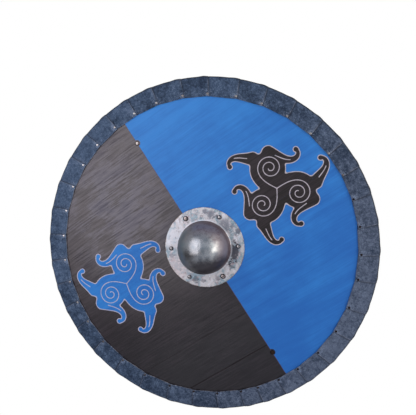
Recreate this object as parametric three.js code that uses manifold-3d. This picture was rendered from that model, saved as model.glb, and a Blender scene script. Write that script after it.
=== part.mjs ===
// A round shield: eight edge-joined planks with a hand hole in the middle, a domed steel
// boss riveted over the hole, a wooden grip bar behind it, and a rim of folded leather
// pieces that overlap like tiles, each held by one nail through its lapped end.
//
// Millimetres. +Z runs up along the grip bar, +X points to the blue half, and the painted
// front faces -Y. The origin is the middle of the grip, where the hand closes on the bar.

import * as THREE from 'three';
import { mergeVertices } from 'three/addons/utils/BufferGeometryUtils.js';
import Module from 'manifold-3d';

const wasm = await Module();
wasm.setup();

// Fits

const clearance = 0.3; // gap that pieces keep where one rests on another
const edgeSlack = 0.5; // gap between the board's round edge and the leather folded over it
const holeClearance = 0.35; // gap round a shank, on the radius
const overrun = 5; // how far a cutting body runs past what it cuts

// Board

const boardRadius = 376;
const boardThickness = 9.6;
const boardEdgeEase = 2.6; // bevel of the round edge, so that it doesn't cut the leather
const boardSegments = 74;
const outerPlankWidth = 114.4; // the first and last plank; those between share what is left
const planksEachSide = 4;
const plankWidth = (boardRadius - outerPlankWidth) / (planksEachSide - 1);
const seamEase = 0.6; // bevel along the long edges of each plank
const handHoleRadius = 56;
const handHoleSegments = 36;

// Leather rim

const leatherThickness = 2.2;
const frontCover = 39.2; // how far a piece reaches in from the board's edge, at its corners
const backShortfall = 4.2; // how much less far its back leg reaches in
const backCover = frontCover - backShortfall;
const foldSteps = 2;
const tuckLength = 7; // how far an end runs on under the next piece, past the nail
const rampLength = 5; // over which a piece climbs on to its neighbour
const rampStart = 0.8; // from the neighbour's end to the top of the climb
const lapOverhang = 3.4; // from the nail to the end that lies on top
const lapSlant = 3; // how far that end leans, from the nail out to the board's edge

// Each lap's drift from even spacing, as a share of the spacing: the pieces were laid by eye.
const lapDriftShares = [
  0, -0.02, 0.05, 0.11, 0.11, 0.2, 0.17, 0.24, 0.22, 0.19, 0.2, 0.21, 0.2,
  0.23, 0.28, 0.29, 0.22, 0.13, 0.03, 0.07, 0.19, 0.28, 0.39, 0.39, 0.35, 0.32,
  0.02, -0.09, -0.22, -0.19, -0.1, -0.06, 0.06, 0, 0.04, 0.08, 0.05,
];
const firstLapDegrees = 4.6;

// Rim nails

const nailHeadRadius = 2.6;
const nailHeadHeight = 1.4;
const nailCrownShare = 0.62; // the head's flatter top, as a share of its radius
const nailShankRadius = 1.3; // to the corners of its square section
const nailBite = 0.2; // how far the head is pulled down into the leather
const nailInset = 5.2; // from the leather's inner edge to the nail
const nailHeadSides = 6;
const nailShankSides = 4;

// Boss

const bossSheet = 1.8;
const flangeRadius = 92;
const domeRadius = 59.5; // outside, at the foot
const wallHeight = 6.5; // from the flange's front to where the half-round dome begins
const footFillet = 3.5;
const filletSteps = 3;
const domeSteps = 6;
const bossSegments = 30;

// Grip bar

const gripWidth = 34;
const gripDepth = 22;
const gripShoulder = 2; // how far the full section runs on past the hand hole
const gripHalfLength = handHoleRadius + gripShoulder;
const barEndWidth = 24;
const barEndDepth = 12;
const barEndGap = 41; // from each end to the leather that is folded over behind the board
const barEndMargin = 18.5; // from each end to the rivet that holds it
const barEnd = boardRadius - backCover - barEndGap;
const endRivetReach = barEnd - barEndMargin;
const noseLength = 11; // rounding of each end
const noseShares = [[1, 0.5], [0.72, 0.82], [0.36, 0.96], [0, 1]]; // [length, size] of its sections
const barEdgeEase = 1; // on the edges that lie against the board
const gripEdgeEase = 6; // on the same edges where the fingers close
const barSideShare = 0.42; // height of the upright side, as a share of the depth
const barFlatShare = 0.34; // width of the flat back, as a share of the width
const barRoundSteps = 3;

// Rivets and roves

const shankRadius = 2.4;
const smallHeadRadius = 4.6;
const largeHeadRadius = 6;
const endHeadRadius = 5;
const headHeightShare = 0.42; // of the head's radius
const headDomeShares = [[0, 1], [0.55, 0.84], [0.88, 0.45], [1, 0]]; // [radius, height] of its outline
const tailRadius = 4;
const tailHeight = 1.6;
const tailTopShare = 0.7; // the tail's flattened top, as a share of its radius
const roveRadius = 7;
const roveThickness = 1.2;
const rivetSides = 10;
const boltCircleCount = 6;

// Depths, worked out from the back of the board to the front

const barFront = -gripDepth / 2;
const boardBack = barFront - clearance;
const boardFront = boardBack - boardThickness;
const boardMiddle = (boardFront + boardBack) / 2;
const flangeBack = boardFront - clearance;
const flangeFront = flangeBack - bossSheet;
const rivetCircleRadius = (domeRadius + footFillet + flangeRadius) / 2;
const nailRadius = boardRadius - frontCover + nailInset;
const layerStep = leatherThickness + clearance;

// Materials

const paintedWood = new THREE.MeshStandardMaterial({ color: 0x2f6fb8, roughness: 0.7, metalness: 0 });
const gripWood = new THREE.MeshStandardMaterial({ color: 0x6b4d33, roughness: 0.7, metalness: 0 });
const rimLeather = new THREE.MeshStandardMaterial({ color: 0x435066, roughness: 0.85, metalness: 0 });
const bossSteel = new THREE.MeshStandardMaterial({ color: 0x9b9ca3, roughness: 0.4, metalness: 1 });
const rivetSteel = new THREE.MeshStandardMaterial({ color: 0x6f7077, roughness: 0.45, metalness: 1 });

// Solids and meshes

/** A closed mesh as a solid that can be joined and cut. */
function solidOf(geometry) {
  const bare = geometry.clone();
  bare.deleteAttribute('normal');
  bare.deleteAttribute('uv');
  const merged = mergeVertices(bare);
  const corners = merged.index.array;
  const kept = [];
  for (let i = 0; i < corners.length; i += 3) {
    const [a, b, c] = [corners[i], corners[i + 1], corners[i + 2]];
    if (a !== b && b !== c && c !== a) kept.push(a, b, c);
  }
  const vertProperties = new Float32Array(merged.attributes.position.array);
  const triVerts = new Uint32Array(kept);
  return new wasm.Manifold(new wasm.Mesh({ numProp: 3, vertProperties, triVerts }));
}

function meshOf(name, solid, material) {
  const surface = solid.getMesh();
  const geometry = new THREE.BufferGeometry();
  geometry.setAttribute('position', new THREE.BufferAttribute(surface.vertProperties, 3));
  geometry.setIndex(new THREE.BufferAttribute(surface.triVerts, 1));
  geometry.computeVertexNormals();
  const mesh = new THREE.Mesh(geometry, material);
  mesh.name = name;
  return mesh;
}

/** A closed body through a row of sections with the same number of points. */
function loft(sections, capOutline) {
  const count = sections[0].length;
  const triangles = [];
  for (let s = 0; s + 1 < sections.length; s += 1) {
    for (let i = 0; i < count; i += 1) {
      const here = s * count + i;
      const beside = s * count + ((i + 1) % count);
      triangles.push(here, beside, here + count, beside, beside + count, here + count);
    }
  }
  const last = (sections.length - 1) * count;
  for (const [a, b, c] of THREE.ShapeUtils.triangulateShape(capOutline, [])) {
    triangles.push(a, c, b, last + a, last + b, last + c);
  }
  const geometry = new THREE.BufferGeometry();
  geometry.setFromPoints(sections.flat());
  geometry.setIndex(triangles);
  return geometry;
}

/** A body turned about an axis that runs along Y, through (x, z). The profile holds [radius, y]. */
function turned(profile, sides, x = 0, z = 0) {
  const points = profile.map(([radius, y]) => new THREE.Vector2(radius, y));
  return new THREE.LatheGeometry(points, sides).translate(x, 0, z);
}

/** A straight pin or drill along Y through (x, z), from one depth to another. */
function pin(radius, from, to, sides, x = 0, z = 0) {
  return solidOf(turned([[0, from], [radius, from], [radius, to], [0, to]], sides, x, z));
}

/** The place on the shield's face at a radius and an angle, counted from +X towards +Z. */
function place(radius, angle) {
  return { x: radius * Math.cos(angle), z: radius * Math.sin(angle) };
}

// Rivets: where each one stands, its head, and the depth where its tail is closed

/** How deep the grip bar is, and how wide, at a distance from its middle. */
function barAt(distance) {
  const run = barEnd - gripHalfLength;
  const taper = Math.max(0, (Math.abs(distance) - gripHalfLength) / run);
  return {
    width: gripWidth + (barEndWidth - gripWidth) * taper,
    depth: gripDepth + (barEndDepth - gripDepth) * taper,
  };
}

const onBoard = boardBack + clearance + roveThickness;
const onBar = (distance) => barFront + barAt(distance - tailRadius).depth;

const bossRivets = [];
const gripRivets = [];
for (let i = 0; i < boltCircleCount; i += 1) {
  const angle = ((i + 1 / 2) / boltCircleCount) * 2 * Math.PI;
  const { x, z } = place(rivetCircleRadius, angle);
  const overBar = Math.abs(x) < gripWidth / 2;
  if (overBar) {
    gripRivets.push({ x: 0, z, head: largeHeadRadius, seat: flangeFront, close: onBar(rivetCircleRadius) });
  } else {
    bossRivets.push({ x, z, head: smallHeadRadius, seat: flangeFront, close: onBoard });
  }
}
for (const z of [endRivetReach, -endRivetReach]) {
  gripRivets.push({ x: 0, z, head: endHeadRadius, seat: boardFront, close: onBar(endRivetReach) });
}

/** A round-headed rivet, its shank and its peened tail, as one body. */
function rivet({ x, z, head, seat, close }) {
  const under = seat - clearance;
  const crown = head * headHeightShare;
  const peened = close + clearance;
  const profile = headDomeShares.map(([out, up]) => [head * out, under - crown * up]);
  profile.push([shankRadius, under], [shankRadius, peened], [tailRadius, peened]);
  profile.push([tailRadius * tailTopShare, peened + tailHeight], [0, peened + tailHeight]);
  return solidOf(turned(profile, rivetSides, x, z));
}

/** The room that a rivet's shank needs in whatever it passes through. */
function rivetHole({ x, z }) {
  const reach = boardThickness + gripDepth + domeRadius;
  return pin(shankRadius + holeClearance, -reach, reach, rivetSides, x, z);
}

/** A washer on the back of the board, under a rivet's tail. */
function rove({ x, z }) {
  const bore = shankRadius + holeClearance;
  const front = boardBack + clearance;
  const back = front + roveThickness;
  const ring = [[bore, front], [roveRadius, front], [roveRadius, back], [bore, back], [bore, front]];
  return solidOf(turned(ring, rivetSides, x, z));
}

// Laps of the rim

const lapCount = lapDriftShares.length;
const lapSpacing = (2 * Math.PI) / lapCount;
const lapAngles = lapDriftShares.map(
  (drift, i) => THREE.MathUtils.degToRad(firstLapDegrees) + (i + drift) * lapSpacing,
);
lapAngles.push(lapAngles[0] + 2 * Math.PI);

/** The drill for the nail of one lap: through the leather, the board and the leather behind. */
function nailHole(angle) {
  const { x, z } = place(nailRadius, angle);
  const reach = boardThickness / 2 + 2 * layerStep + overrun;
  return pin(
    nailShankRadius + holeClearance, boardMiddle - reach, boardMiddle + reach, nailShankSides, x, z,
  );
}

// Board

/** A plank: a strip with eased edges, cut to the board's circle and drilled. */
function plank(low, high, holes) {
  const half = boardThickness / 2;
  const outline = new THREE.Shape([
    new THREE.Vector2(low, -half + seamEase),
    new THREE.Vector2(low + seamEase, -half),
    new THREE.Vector2(high - seamEase, -half),
    new THREE.Vector2(high, -half + seamEase),
    new THREE.Vector2(high, half - seamEase),
    new THREE.Vector2(high - seamEase, half),
    new THREE.Vector2(low + seamEase, half),
    new THREE.Vector2(low, half - seamEase),
  ]);
  const length = 2 * (boardRadius + overrun);
  const strip = new THREE.ExtrudeGeometry(outline, { depth: length, bevelEnabled: false });
  const toBoard = new THREE.Matrix4().makeBasis(
    new THREE.Vector3(0, 0, 1),
    new THREE.Vector3(0, 1, 0),
    new THREE.Vector3(-1, 0, 0),
  ).setPosition(length / 2, boardMiddle, 0);
  strip.applyMatrix4(toBoard);
  const disc = solidOf(turned([
    [0, boardFront - overrun],
    [boardRadius - boardEdgeEase - overrun, boardFront - overrun],
    [boardRadius - boardEdgeEase, boardFront],
    [boardRadius, boardFront + boardEdgeEase],
    [boardRadius, boardBack - boardEdgeEase],
    [boardRadius - boardEdgeEase, boardBack],
    [boardRadius - boardEdgeEase - overrun, boardBack + overrun],
    [0, boardBack + overrun],
  ], boardSegments));
  return solidOf(strip).intersect(disc).subtract(holes);
}

// Leather rim

/** The section of a rim piece as [radius, y], its height over the board and its ends' radii given. */
function rimSection(level, frontEnd, backEnd) {
  const line = (offset) => {
    const half = boardThickness / 2 + clearance + level + offset;
    const edge = boardRadius + edgeSlack + level + offset;
    const fold = boardEdgeEase + level + offset;
    const points = [[frontEnd, boardMiddle - half]];
    for (const side of [-1, 1]) {
      for (let i = 0; i <= foldSteps; i += 1) {
        const share = side < 0 ? i / foldSteps : 1 - i / foldSteps;
        const bend = share * Math.PI / 2;
        points.push([
          edge - fold + fold * Math.sin(bend),
          boardMiddle + side * (half - fold + fold * Math.cos(bend)),
        ]);
      }
    }
    points.push([backEnd, boardMiddle + half]);
    return points;
  };
  return [...line(leatherThickness), ...line(0).reverse()];
}

/** The nail of one lap: a round head over the front, a square shank down to the leather behind. */
function rimNail(angle) {
  const { x, z } = place(nailRadius, angle);
  const surface = boardThickness / 2 + clearance + layerStep + leatherThickness;
  const seat = boardMiddle - surface + nailBite;
  const end = boardMiddle + surface - leatherThickness / 2;
  const top = seat - nailBite - nailHeadHeight;
  const shank = pin(nailShankRadius, seat - nailBite, end, nailShankSides, x, z);
  return shank.add(solidOf(turned([
    [0, top],
    [nailHeadRadius * nailCrownShare, top + nailHeadHeight / 3],
    [nailHeadRadius, seat],
    [0, seat],
  ], nailHeadSides, x, z)));
}

/** A rim piece: flat on the board for most of its length, then up and over its neighbour's end. */
function rimPiece(lap, nextLap) {
  const along = (length) => length / boardRadius;
  const middle = (lap + nextLap) / 2;
  const halfSpan = (nextLap - lap) / 2;
  const climbTop = lap + along(tuckLength + rampStart);
  const climbFoot = climbTop + along(rampLength);
  const tucked = nextLap + along(tuckLength);
  const stations = [
    { angle: lap - along(lapOverhang), level: layerStep },
    { angle: climbTop, level: layerStep },
    { angle: climbFoot, level: 0 },
    { angle: (climbFoot + tucked) / 2, level: 0 },
    { angle: tucked, level: 0 },
  ];
  const sections = stations.map(({ angle, level }) => {
    // The inner edge is cut straight from corner to corner.
    const straight = Math.cos(halfSpan) / Math.cos(angle - middle);
    const frontEnd = (boardRadius - frontCover) * straight;
    const backEnd = (boardRadius - backCover) * straight;
    return rimSection(level, frontEnd, backEnd).map(([radius, y]) => {
      const lean = along(lapSlant) * (radius - nailRadius) / (boardRadius - nailRadius);
      const { x, z } = place(radius, angle + lean);
      return new THREE.Vector3(x, y, z);
    });
  });
  const firstOutline = rimSection(layerStep, boardRadius - frontCover, boardRadius - backCover);
  const outline = firstOutline.map(([radius, y]) => new THREE.Vector2(radius, y));
  return solidOf(loft(sections, outline)).subtract(nailHole(nextLap)).add(rimNail(lap));
}

// Boss

/** The pressed boss: a flat flange, a small fillet, a short wall and a dome, of even sheet. */
function boss(holes) {
  const skin = (inward) => {
    const face = flangeFront + inward;
    const wall = domeRadius - inward;
    const fillet = footFillet + inward;
    const domeFoot = flangeFront - wallHeight;
    const points = [];
    for (let i = 0; i <= domeSteps; i += 1) {
      const rise = (1 - i / domeSteps) * Math.PI / 2;
      points.push([wall * Math.cos(rise), domeFoot - wall * Math.sin(rise)]);
    }
    points[0][0] = 0;
    for (let i = 0; i <= filletSteps; i += 1) {
      const bend = (i / filletSteps) * Math.PI / 2;
      points.push([wall + fillet - fillet * Math.cos(bend), face - fillet + fillet * Math.sin(bend)]);
    }
    points.push([flangeRadius, face]);
    return points;
  };
  const profile = [...skin(0), ...skin(bossSheet).reverse()];
  return solidOf(turned(profile, bossSegments)).subtract(holes);
}

// Grip bar

/** A section of the bar as [x, depth from the front]: flat front, upright sides, arched back. */
function barSection(width, depth, ease) {
  const half = width / 2;
  const side = depth * barSideShare;
  const flat = half * barFlatShare;
  const right = [[half - ease, 0], [half, ease]];
  for (let i = 0; i <= barRoundSteps; i += 1) {
    const bend = (i / barRoundSteps) * Math.PI / 2;
    right.push([
      flat + (half - flat) * Math.cos(bend),
      side + (depth - side) * Math.sin(bend),
    ]);
  }
  const left = right.map(([x, y]) => [-x, y]).reverse();
  return [...right, ...left];
}

function gripBar(holes) {
  const gripEdge = handHoleRadius - gripEdgeEase;
  const upper = noseShares.map(([out, size]) => ({ z: barEnd - noseLength * (1 - out), size }));
  upper.push({ z: (barEnd + gripHalfLength) / 2, size: 1 });
  upper.push({ z: gripHalfLength, size: 1 });
  upper.push({ z: gripEdge, size: 1, grip: true });
  const lower = upper.map((station) => ({ ...station, z: -station.z }));
  const sections = [...lower, ...upper.reverse()].map(({ z, size, grip }) => {
    const { width, depth } = barAt(z);
    const ease = grip ? gripEdgeEase : barEdgeEase * size;
    return barSection(width * size, depth * size, ease).map(
      ([x, y]) => new THREE.Vector3(x, barFront + y, z),
    );
  });
  const outline = barSection(barEndWidth, barEndDepth, barEdgeEase);
  const body = loft(sections, outline.map(([x, y]) => new THREE.Vector2(x, y)));
  return solidOf(body).subtract(holes);
}

// The shield

const shield = new THREE.Group();

const rivetHoles = wasm.Manifold.union([...bossRivets, ...gripRivets].map(rivetHole));
const nailHoles = wasm.Manifold.union(lapAngles.slice(0, lapCount).map(nailHole));
const handHole = pin(handHoleRadius, boardFront - overrun, boardBack + overrun, handHoleSegments);
const boardHoles = wasm.Manifold.union([rivetHoles, nailHoles, handHole]);

const seams = [-boardRadius - overrun];
for (let i = 1 - planksEachSide; i < planksEachSide; i += 1) {
  seams.push(i * plankWidth);
}
seams.push(boardRadius + overrun);
for (let i = 0; i + 1 < seams.length; i += 1) {
  const low = seams[i] + (i > 0 ? clearance / 2 : 0);
  const high = seams[i + 1] - (i + 2 < seams.length ? clearance / 2 : 0);
  shield.add(meshOf(`plank_${i + 1}`, plank(low, high, boardHoles), paintedWood));
}

for (let i = 0; i < lapCount; i += 1) {
  const name = `rim_piece_${String(i + 1).padStart(2, '0')}`;
  shield.add(meshOf(name, rimPiece(lapAngles[i], lapAngles[i + 1]), rimLeather));
}

shield.add(meshOf('boss', boss(rivetHoles), bossSteel));
shield.add(meshOf('grip_bar', gripBar(rivetHoles), gripWood));
bossRivets.forEach((spot, i) => {
  shield.add(meshOf(`boss_rivet_${i + 1}`, rivet(spot), rivetSteel));
  shield.add(meshOf(`rove_${i + 1}`, rove(spot), rivetSteel));
});
gripRivets.forEach((spot, i) => {
  shield.add(meshOf(`grip_rivet_${i + 1}`, rivet(spot), rivetSteel));
});

export default shield;
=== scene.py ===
# %% [markdown]
# # A round plank shield
#
# Eight planks, a rim of folded leather, a steel boss and a grip bar. The construction comes
# in as a fixed frame. This lesson builds the visible surface of each piece round that frame:
# finer meshes where the frame is faceted, and a procedural finish for everything.
#
# Metres. +Z runs up along the grip bar, +X points to the blue half, the front faces -Y.

# %% Load the frame
import math

import bmesh
import bpy
import numpy as np
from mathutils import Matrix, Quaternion, Vector, noise


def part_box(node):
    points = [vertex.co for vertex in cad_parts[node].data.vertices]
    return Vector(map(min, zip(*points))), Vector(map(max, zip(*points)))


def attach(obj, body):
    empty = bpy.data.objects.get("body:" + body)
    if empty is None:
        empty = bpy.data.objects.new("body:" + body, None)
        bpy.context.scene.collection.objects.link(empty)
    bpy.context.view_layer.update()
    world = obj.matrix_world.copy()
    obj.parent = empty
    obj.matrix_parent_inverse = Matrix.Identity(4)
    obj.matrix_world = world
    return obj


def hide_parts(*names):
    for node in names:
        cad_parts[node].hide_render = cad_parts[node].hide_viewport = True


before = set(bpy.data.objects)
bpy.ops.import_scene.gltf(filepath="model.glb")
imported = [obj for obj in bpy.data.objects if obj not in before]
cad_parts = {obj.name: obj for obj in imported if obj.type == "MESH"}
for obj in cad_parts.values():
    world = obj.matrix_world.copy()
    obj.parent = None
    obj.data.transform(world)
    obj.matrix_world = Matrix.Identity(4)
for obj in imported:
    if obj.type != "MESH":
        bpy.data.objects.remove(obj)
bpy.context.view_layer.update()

print("nodes in the frame:", len(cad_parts))

# %% [markdown]
# ## Measure the frame
#
# Pieces fit each other only if they share their sizes, so nothing is typed twice. The board's
# radius, the hand hole, the nails and the rivets are all read from the solids. What a solid
# doesn't say, such as how round a cut edge is, gets a name here in millimetres.

# %% Read sizes from the solids
MM = 0.001
PLANKS = 8
RIM_PIECES = 37


def solid_points(node):
    return np.array([corner.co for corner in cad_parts[node].data.vertices])


def size_of(node):
    low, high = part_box(node)
    return high - low


def middle_of(node):
    """The middle of a piece, as x and z."""
    low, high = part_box(node)
    return (low.x + high.x) / 2, (low.z + high.z) / 2


plank_points = np.concatenate([solid_points(f"plank_{i + 1}") for i in range(PLANKS)])
plank_reach = np.hypot(plank_points[:, 0], plank_points[:, 2])
board_radius = float(plank_reach.max())
hand_hole = float(np.sort(plank_reach[np.abs(plank_points[:, 2]) < board_radius / 4])[0])
board_front = float(plank_points[:, 1].min())
board_back = float(plank_points[:, 1].max())
board_middle = (board_front + board_back) / 2
board_half = (board_back - board_front) / 2
plank_width = size_of("plank_5").z
print(f"board {board_radius / MM:.1f} mm in radius, {2 * board_half / MM:.1f} mm thick,"
      f" hand hole {hand_hole / MM:.1f} mm, planks {plank_width / MM:.1f} mm")

# %% Find the nail of each rim piece
# The top of a nail's head is the point of its rim piece that lies furthest forward.
nail_tips = []
for i in range(RIM_PIECES):
    points = solid_points(f"rim_piece_{i + 1:02d}")
    nail_tips.append(Vector(points[points[:, 1].argmin()]))
lap_angles = [math.atan2(tip.z, tip.x) for tip in nail_tips]
for i in range(1, RIM_PIECES):
    while lap_angles[i] < lap_angles[i - 1]:
        lap_angles[i] += 2 * math.pi
lap_angles.append(lap_angles[0] + 2 * math.pi)
nail_radius = math.hypot(nail_tips[0].x, nail_tips[0].z)
print(f"nails on a circle of {nail_radius / MM:.1f} mm, first at {math.degrees(lap_angles[0]):.1f} degrees")

# %% [markdown]
# ## The camera
#
# The shield was photographed from a little right of its middle, tilted so that its bar leans
# to the left. Aiming a camera is easiest in three steps: put it somewhere, point it at a
# place on the board, and then roll it about its own line of sight. The lamps are aimed the
# same way later, so both share one helper.

# %% Camera
CAMERA_LENS, CAMERA_SENSOR = 42.765, 36
camera_place = Vector((0.2864, -1.1063, 0.0465))
camera_aim = Vector((0.0560, -0.0161, 0.0713))
camera_roll = math.radians(32.93)


def in_scene(name, data):
    """Makes an object of a mesh, a lamp or a camera, and puts it in the scene."""
    made = bpy.data.objects.new(name, data)
    bpy.context.scene.collection.objects.link(made)
    return made


def aim(thing, way):
    """Points a camera or a lamp along a direction, with the camera's roll."""
    thing.rotation_mode = "QUATERNION"
    thing.rotation_quaternion = way.to_track_quat("-Z", "Y") @ Quaternion((0, 0, 1), -camera_roll)


camera = in_scene("camera", bpy.data.cameras.new("camera"))
bpy.context.scene.camera = camera
camera.data.sensor_width = CAMERA_SENSOR
camera.data.lens = CAMERA_LENS
camera.location = camera_place
aim(camera, camera_aim - camera_place)
bpy.context.scene.view_settings.view_transform = "Standard"

view_right, view_up, view_back = (camera.rotation_quaternion @ Vector(way)
                                  for way in ((1, 0, 0), (0, 1, 0), (0, 0, 1)))
print("camera looks along", [round(-v, 3) for v in view_back])

# %% [markdown]
# ## Finishes as sums
#
# A finish is a tree of small nodes, and a long tree is hard to read when each node takes
# five lines. So one small class wraps a socket: writing `1 - mask` or `grain * 0.3` then
# adds the Math node and its links. Numbers use Math nodes, vectors use Vector Math, and
# colours use Mix, because a Math node would turn a colour grey.

# %% The socket class
SUM_KINDS = {"VALUE": "ShaderNodeMath", "VECTOR": "ShaderNodeVectorMath"}
MIX_A, MIX_B, MIX_COLOUR_OUT = 6, 7, 2


class Wire:
    """An output socket that takes part in Python sums."""

    def __init__(self, finish, socket):
        self.finish = finish
        self.socket = socket

    def sum_with(self, operation, first, second=None):
        if self.socket.type == "RGBA":
            settings = {"data_type": "RGBA", "blend_type": operation, "clamp_result": False}
            sockets = {0: 1.0, MIX_A: first, MIX_B: second}
            return self.finish.node("ShaderNodeMix", settings, sockets, MIX_COLOUR_OUT)
        inputs = {0: first} if second is None else {0: first, 1: second}
        return self.finish.node(SUM_KINDS[self.socket.type], {"operation": operation}, inputs)

    def __add__(self, other):
        return self.sum_with("ADD", self, other)

    def __radd__(self, other):
        return self.sum_with("ADD", other, self)

    def __sub__(self, other):
        return self.sum_with("SUBTRACT", self, other)

    def __rsub__(self, other):
        return self.sum_with("SUBTRACT", other, self)

    def __mul__(self, other):
        return self.sum_with("MULTIPLY", self, other)

    def __rmul__(self, other):
        return self.sum_with("MULTIPLY", other, self)

    def __truediv__(self, other):
        return self.sum_with("DIVIDE", self, other)

    def __abs__(self):
        return self.sum_with("ABSOLUTE", self)

    def power(self, other):
        return self.sum_with("POWER", self, other)

    def sine(self):
        return self.sum_with("SINE", self)

    def fraction(self):
        return self.sum_with("FRACT", self)

    def smaller(self, other):
        return self.sum_with("MINIMUM", self, other)

    def larger(self, other):
        return self.sum_with("MAXIMUM", self, other)


# %% The class for one finish
class Finish:
    """A material, or the world, while its nodes are being laid out."""

    def __init__(self, name, owner=None):
        self.material = owner or bpy.data.materials.new(name)
        self.material.use_nodes = True
        self.tree = self.material.node_tree
        self.tree.nodes.clear()

    def node(self, kind, settings=None, sockets=None, out=0):
        made = self.tree.nodes.new(kind)
        for name, value in (settings or {}).items():
            setattr(made, name, value)
        for name, value in (sockets or {}).items():
            socket = made.inputs[name]
            if isinstance(value, Wire):
                self.tree.links.new(value.socket, socket)
            elif socket.type == "RGBA" and len(value) == 3:
                socket.default_value = (*value, 1)
            else:
                socket.default_value = value
        return Wire(self, made.outputs[out]) if len(made.outputs) else made

    def place(self):
        return self.node("ShaderNodeTexCoord", {}, {}, "Object")

    def attribute(self, name):
        return self.node("ShaderNodeAttribute", {"attribute_name": name}, {}, "Fac")

    def ray(self, kind):
        """1 for the rays of one kind, 0 for the others."""
        return self.node("ShaderNodeLightPath", {}, {}, f"Is {kind} Ray")

    def surface(self, **sockets):
        """The Principled shader. Names are its sockets', with _ for a space."""
        named = {name.replace("_", " "): value for name, value in sockets.items()}
        shader = self.node("ShaderNodeBsdfPrincipled", {}, named)
        self.node("ShaderNodeOutputMaterial", {}, {"Surface": shader})
        return self.material


# %% Patterns and masks
def split(vector):
    return [vector.finish.node("ShaderNodeSeparateXYZ", {}, {0: vector}, axis) for axis in "XYZ"]


def diagonal(first, second):
    """The length of a line with these two legs."""
    return (first * first + second * second).power(0.5)


def pattern(place, scale, detail=3.0, roughness=0.55, shift=None):
    """Clouds from 0 to 1, so many to the metre. A shift picks other clouds of the same kind."""
    settings = {"noise_dimensions": "3D" if shift is None else "4D"}
    sockets = {"Vector": place, "Scale": scale, "Detail": detail, "Roughness": roughness}
    if shift is not None:
        sockets["W"] = shift
    return place.finish.node("ShaderNodeTexNoise", settings, sockets, "Fac")


def cells(place, scale, feature):
    """A pattern of cells, for creases or for the marks of a hammer."""
    sockets = {"Vector": place, "Scale": scale}
    return place.finish.node("ShaderNodeTexVoronoi", {"feature": feature}, sockets, "Distance")


def chance(number):
    """A share from 0 to 1 that looks drawn by lot, but is the same for the same number."""
    return number.finish.node("ShaderNodeTexWhiteNoise", {"noise_dimensions": "1D"}, {"W": number}, "Value")


def rise(value, low, high):
    """0 below the low value, 1 above the high one, and smooth between."""
    sockets = {"Value": value, "From Min": low, "From Max": high}
    return value.finish.node("ShaderNodeMapRange", {"interpolation_type": "SMOOTHSTEP"}, sockets)


def spot(x, z, middle, reach, core=0.35):
    """1 round a place on the front, fading to 0 at the reach."""
    return 1 - rise(diagonal(x - middle[0], z - middle[1]), reach * core, reach)


# %% Colours, blends and relief
def srgb(red, green, blue):
    """A colour picked on screen, 0 to 255, as the linear values that shaders use."""
    shares = [value / 255 for value in (red, green, blue)]
    return tuple(s / 12.92 if s <= 0.04045 else ((s + 0.055) / 1.055) ** 2.4 for s in shares)


def mix(factor, first, second):
    """A blend of two colours: the first at 0, the second at 1."""
    settings = {"data_type": "RGBA", "clamp_factor": True}
    sockets = {0: factor, MIX_A: first, MIX_B: second}
    return factor.finish.node("ShaderNodeMix", settings, sockets, MIX_COLOUR_OUT)


def between(factor, first, second):
    """The same blend for two numbers."""
    return factor * (second - first) + first


def bump(height, distance, strength, under=None):
    sockets = {"Height": height, "Distance": distance, "Strength": strength}
    if under is not None:
        sockets["Normal"] = under
    return height.finish.node("ShaderNodeBump", {}, sockets)


# %% [markdown]
# ## The studio
#
# A white cyclorama surrounds a studio product shot. The camera sees plain white behind the
# shield. The metal sees the white backdrop only behind the board, and a dimmer room in front
# of it: that dark front is what gives the polished dome its contrast. Two soft boxes stand
# left and right of the camera, and a third lights the back. The floor is far below the
# tilted frame, keeps the soft shadow near the shield, and turns to plain white further out.

# %% World
WHITE = (1.0, 1.0, 1.0)
ROOM_FLOOR = srgb(52, 50, 54)
ROOM_WALL = srgb(202, 206, 212)
ROOM_CEILING = srgb(156, 158, 168)
BACKDROP_LIT = srgb(205, 208, 212)
FLOOR_TO_WALL, WALL_TO_CEILING = (-0.4, 0.2), (0.25, 0.85)
# Where the white backdrop starts and is full: for a direction its share of Y, on the floor metres.
BACKDROP_RANGE = (-0.05, 0.3)

world = bpy.data.worlds.new("studio")
bpy.context.scene.world = world
room = Finish("studio", world)
way = room.node("ShaderNodeTexCoord", {}, {}, "Generated")
upward = room.node("ShaderNodeVectorMath", {"operation": "DOT_PRODUCT"},
                   {0: way, 1: tuple(view_up)}, "Value")
room_colour = mix(rise(upward, *FLOOR_TO_WALL), ROOM_FLOOR, ROOM_WALL)
room_colour = mix(rise(upward, *WALL_TO_CEILING), room_colour, ROOM_CEILING)
backdrop = rise(split(way)[1], *BACKDROP_RANGE)
mirrored = room.ray("Glossy") + room.ray("Transmission")
white_share = room.ray("Camera").larger(backdrop * mirrored.smaller(1.0))
shown = mix(white_share, mix(backdrop, room_colour, BACKDROP_LIT), WHITE)
light = room.node("ShaderNodeBackground", {}, {"Color": shown, "Strength": 1.0})
room.node("ShaderNodeOutputWorld", {}, {"Surface": light})
print("the room takes", len(room.tree.nodes), "nodes")

# %% Soft boxes
# Degrees left of the line from the boss to the camera and above it, distance, width, height,
# power, colour.
SOFT_BOXES = {
    "soft_box_left": (41, 8, 1.15, 0.85, 1.35, 5.6, (1.0, 0.93, 0.92)),
    "soft_box_right": (-58, 12, 1.9, 1.3, 1.95, 27.0, (1.0, 0.91, 0.76)),
    "soft_box_back": (180, 25, 1.9, 1.2, 1.2, 12.0, WHITE),
}
boss_middle = Vector((0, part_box("boss")[0].y / 2, 0))


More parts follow.
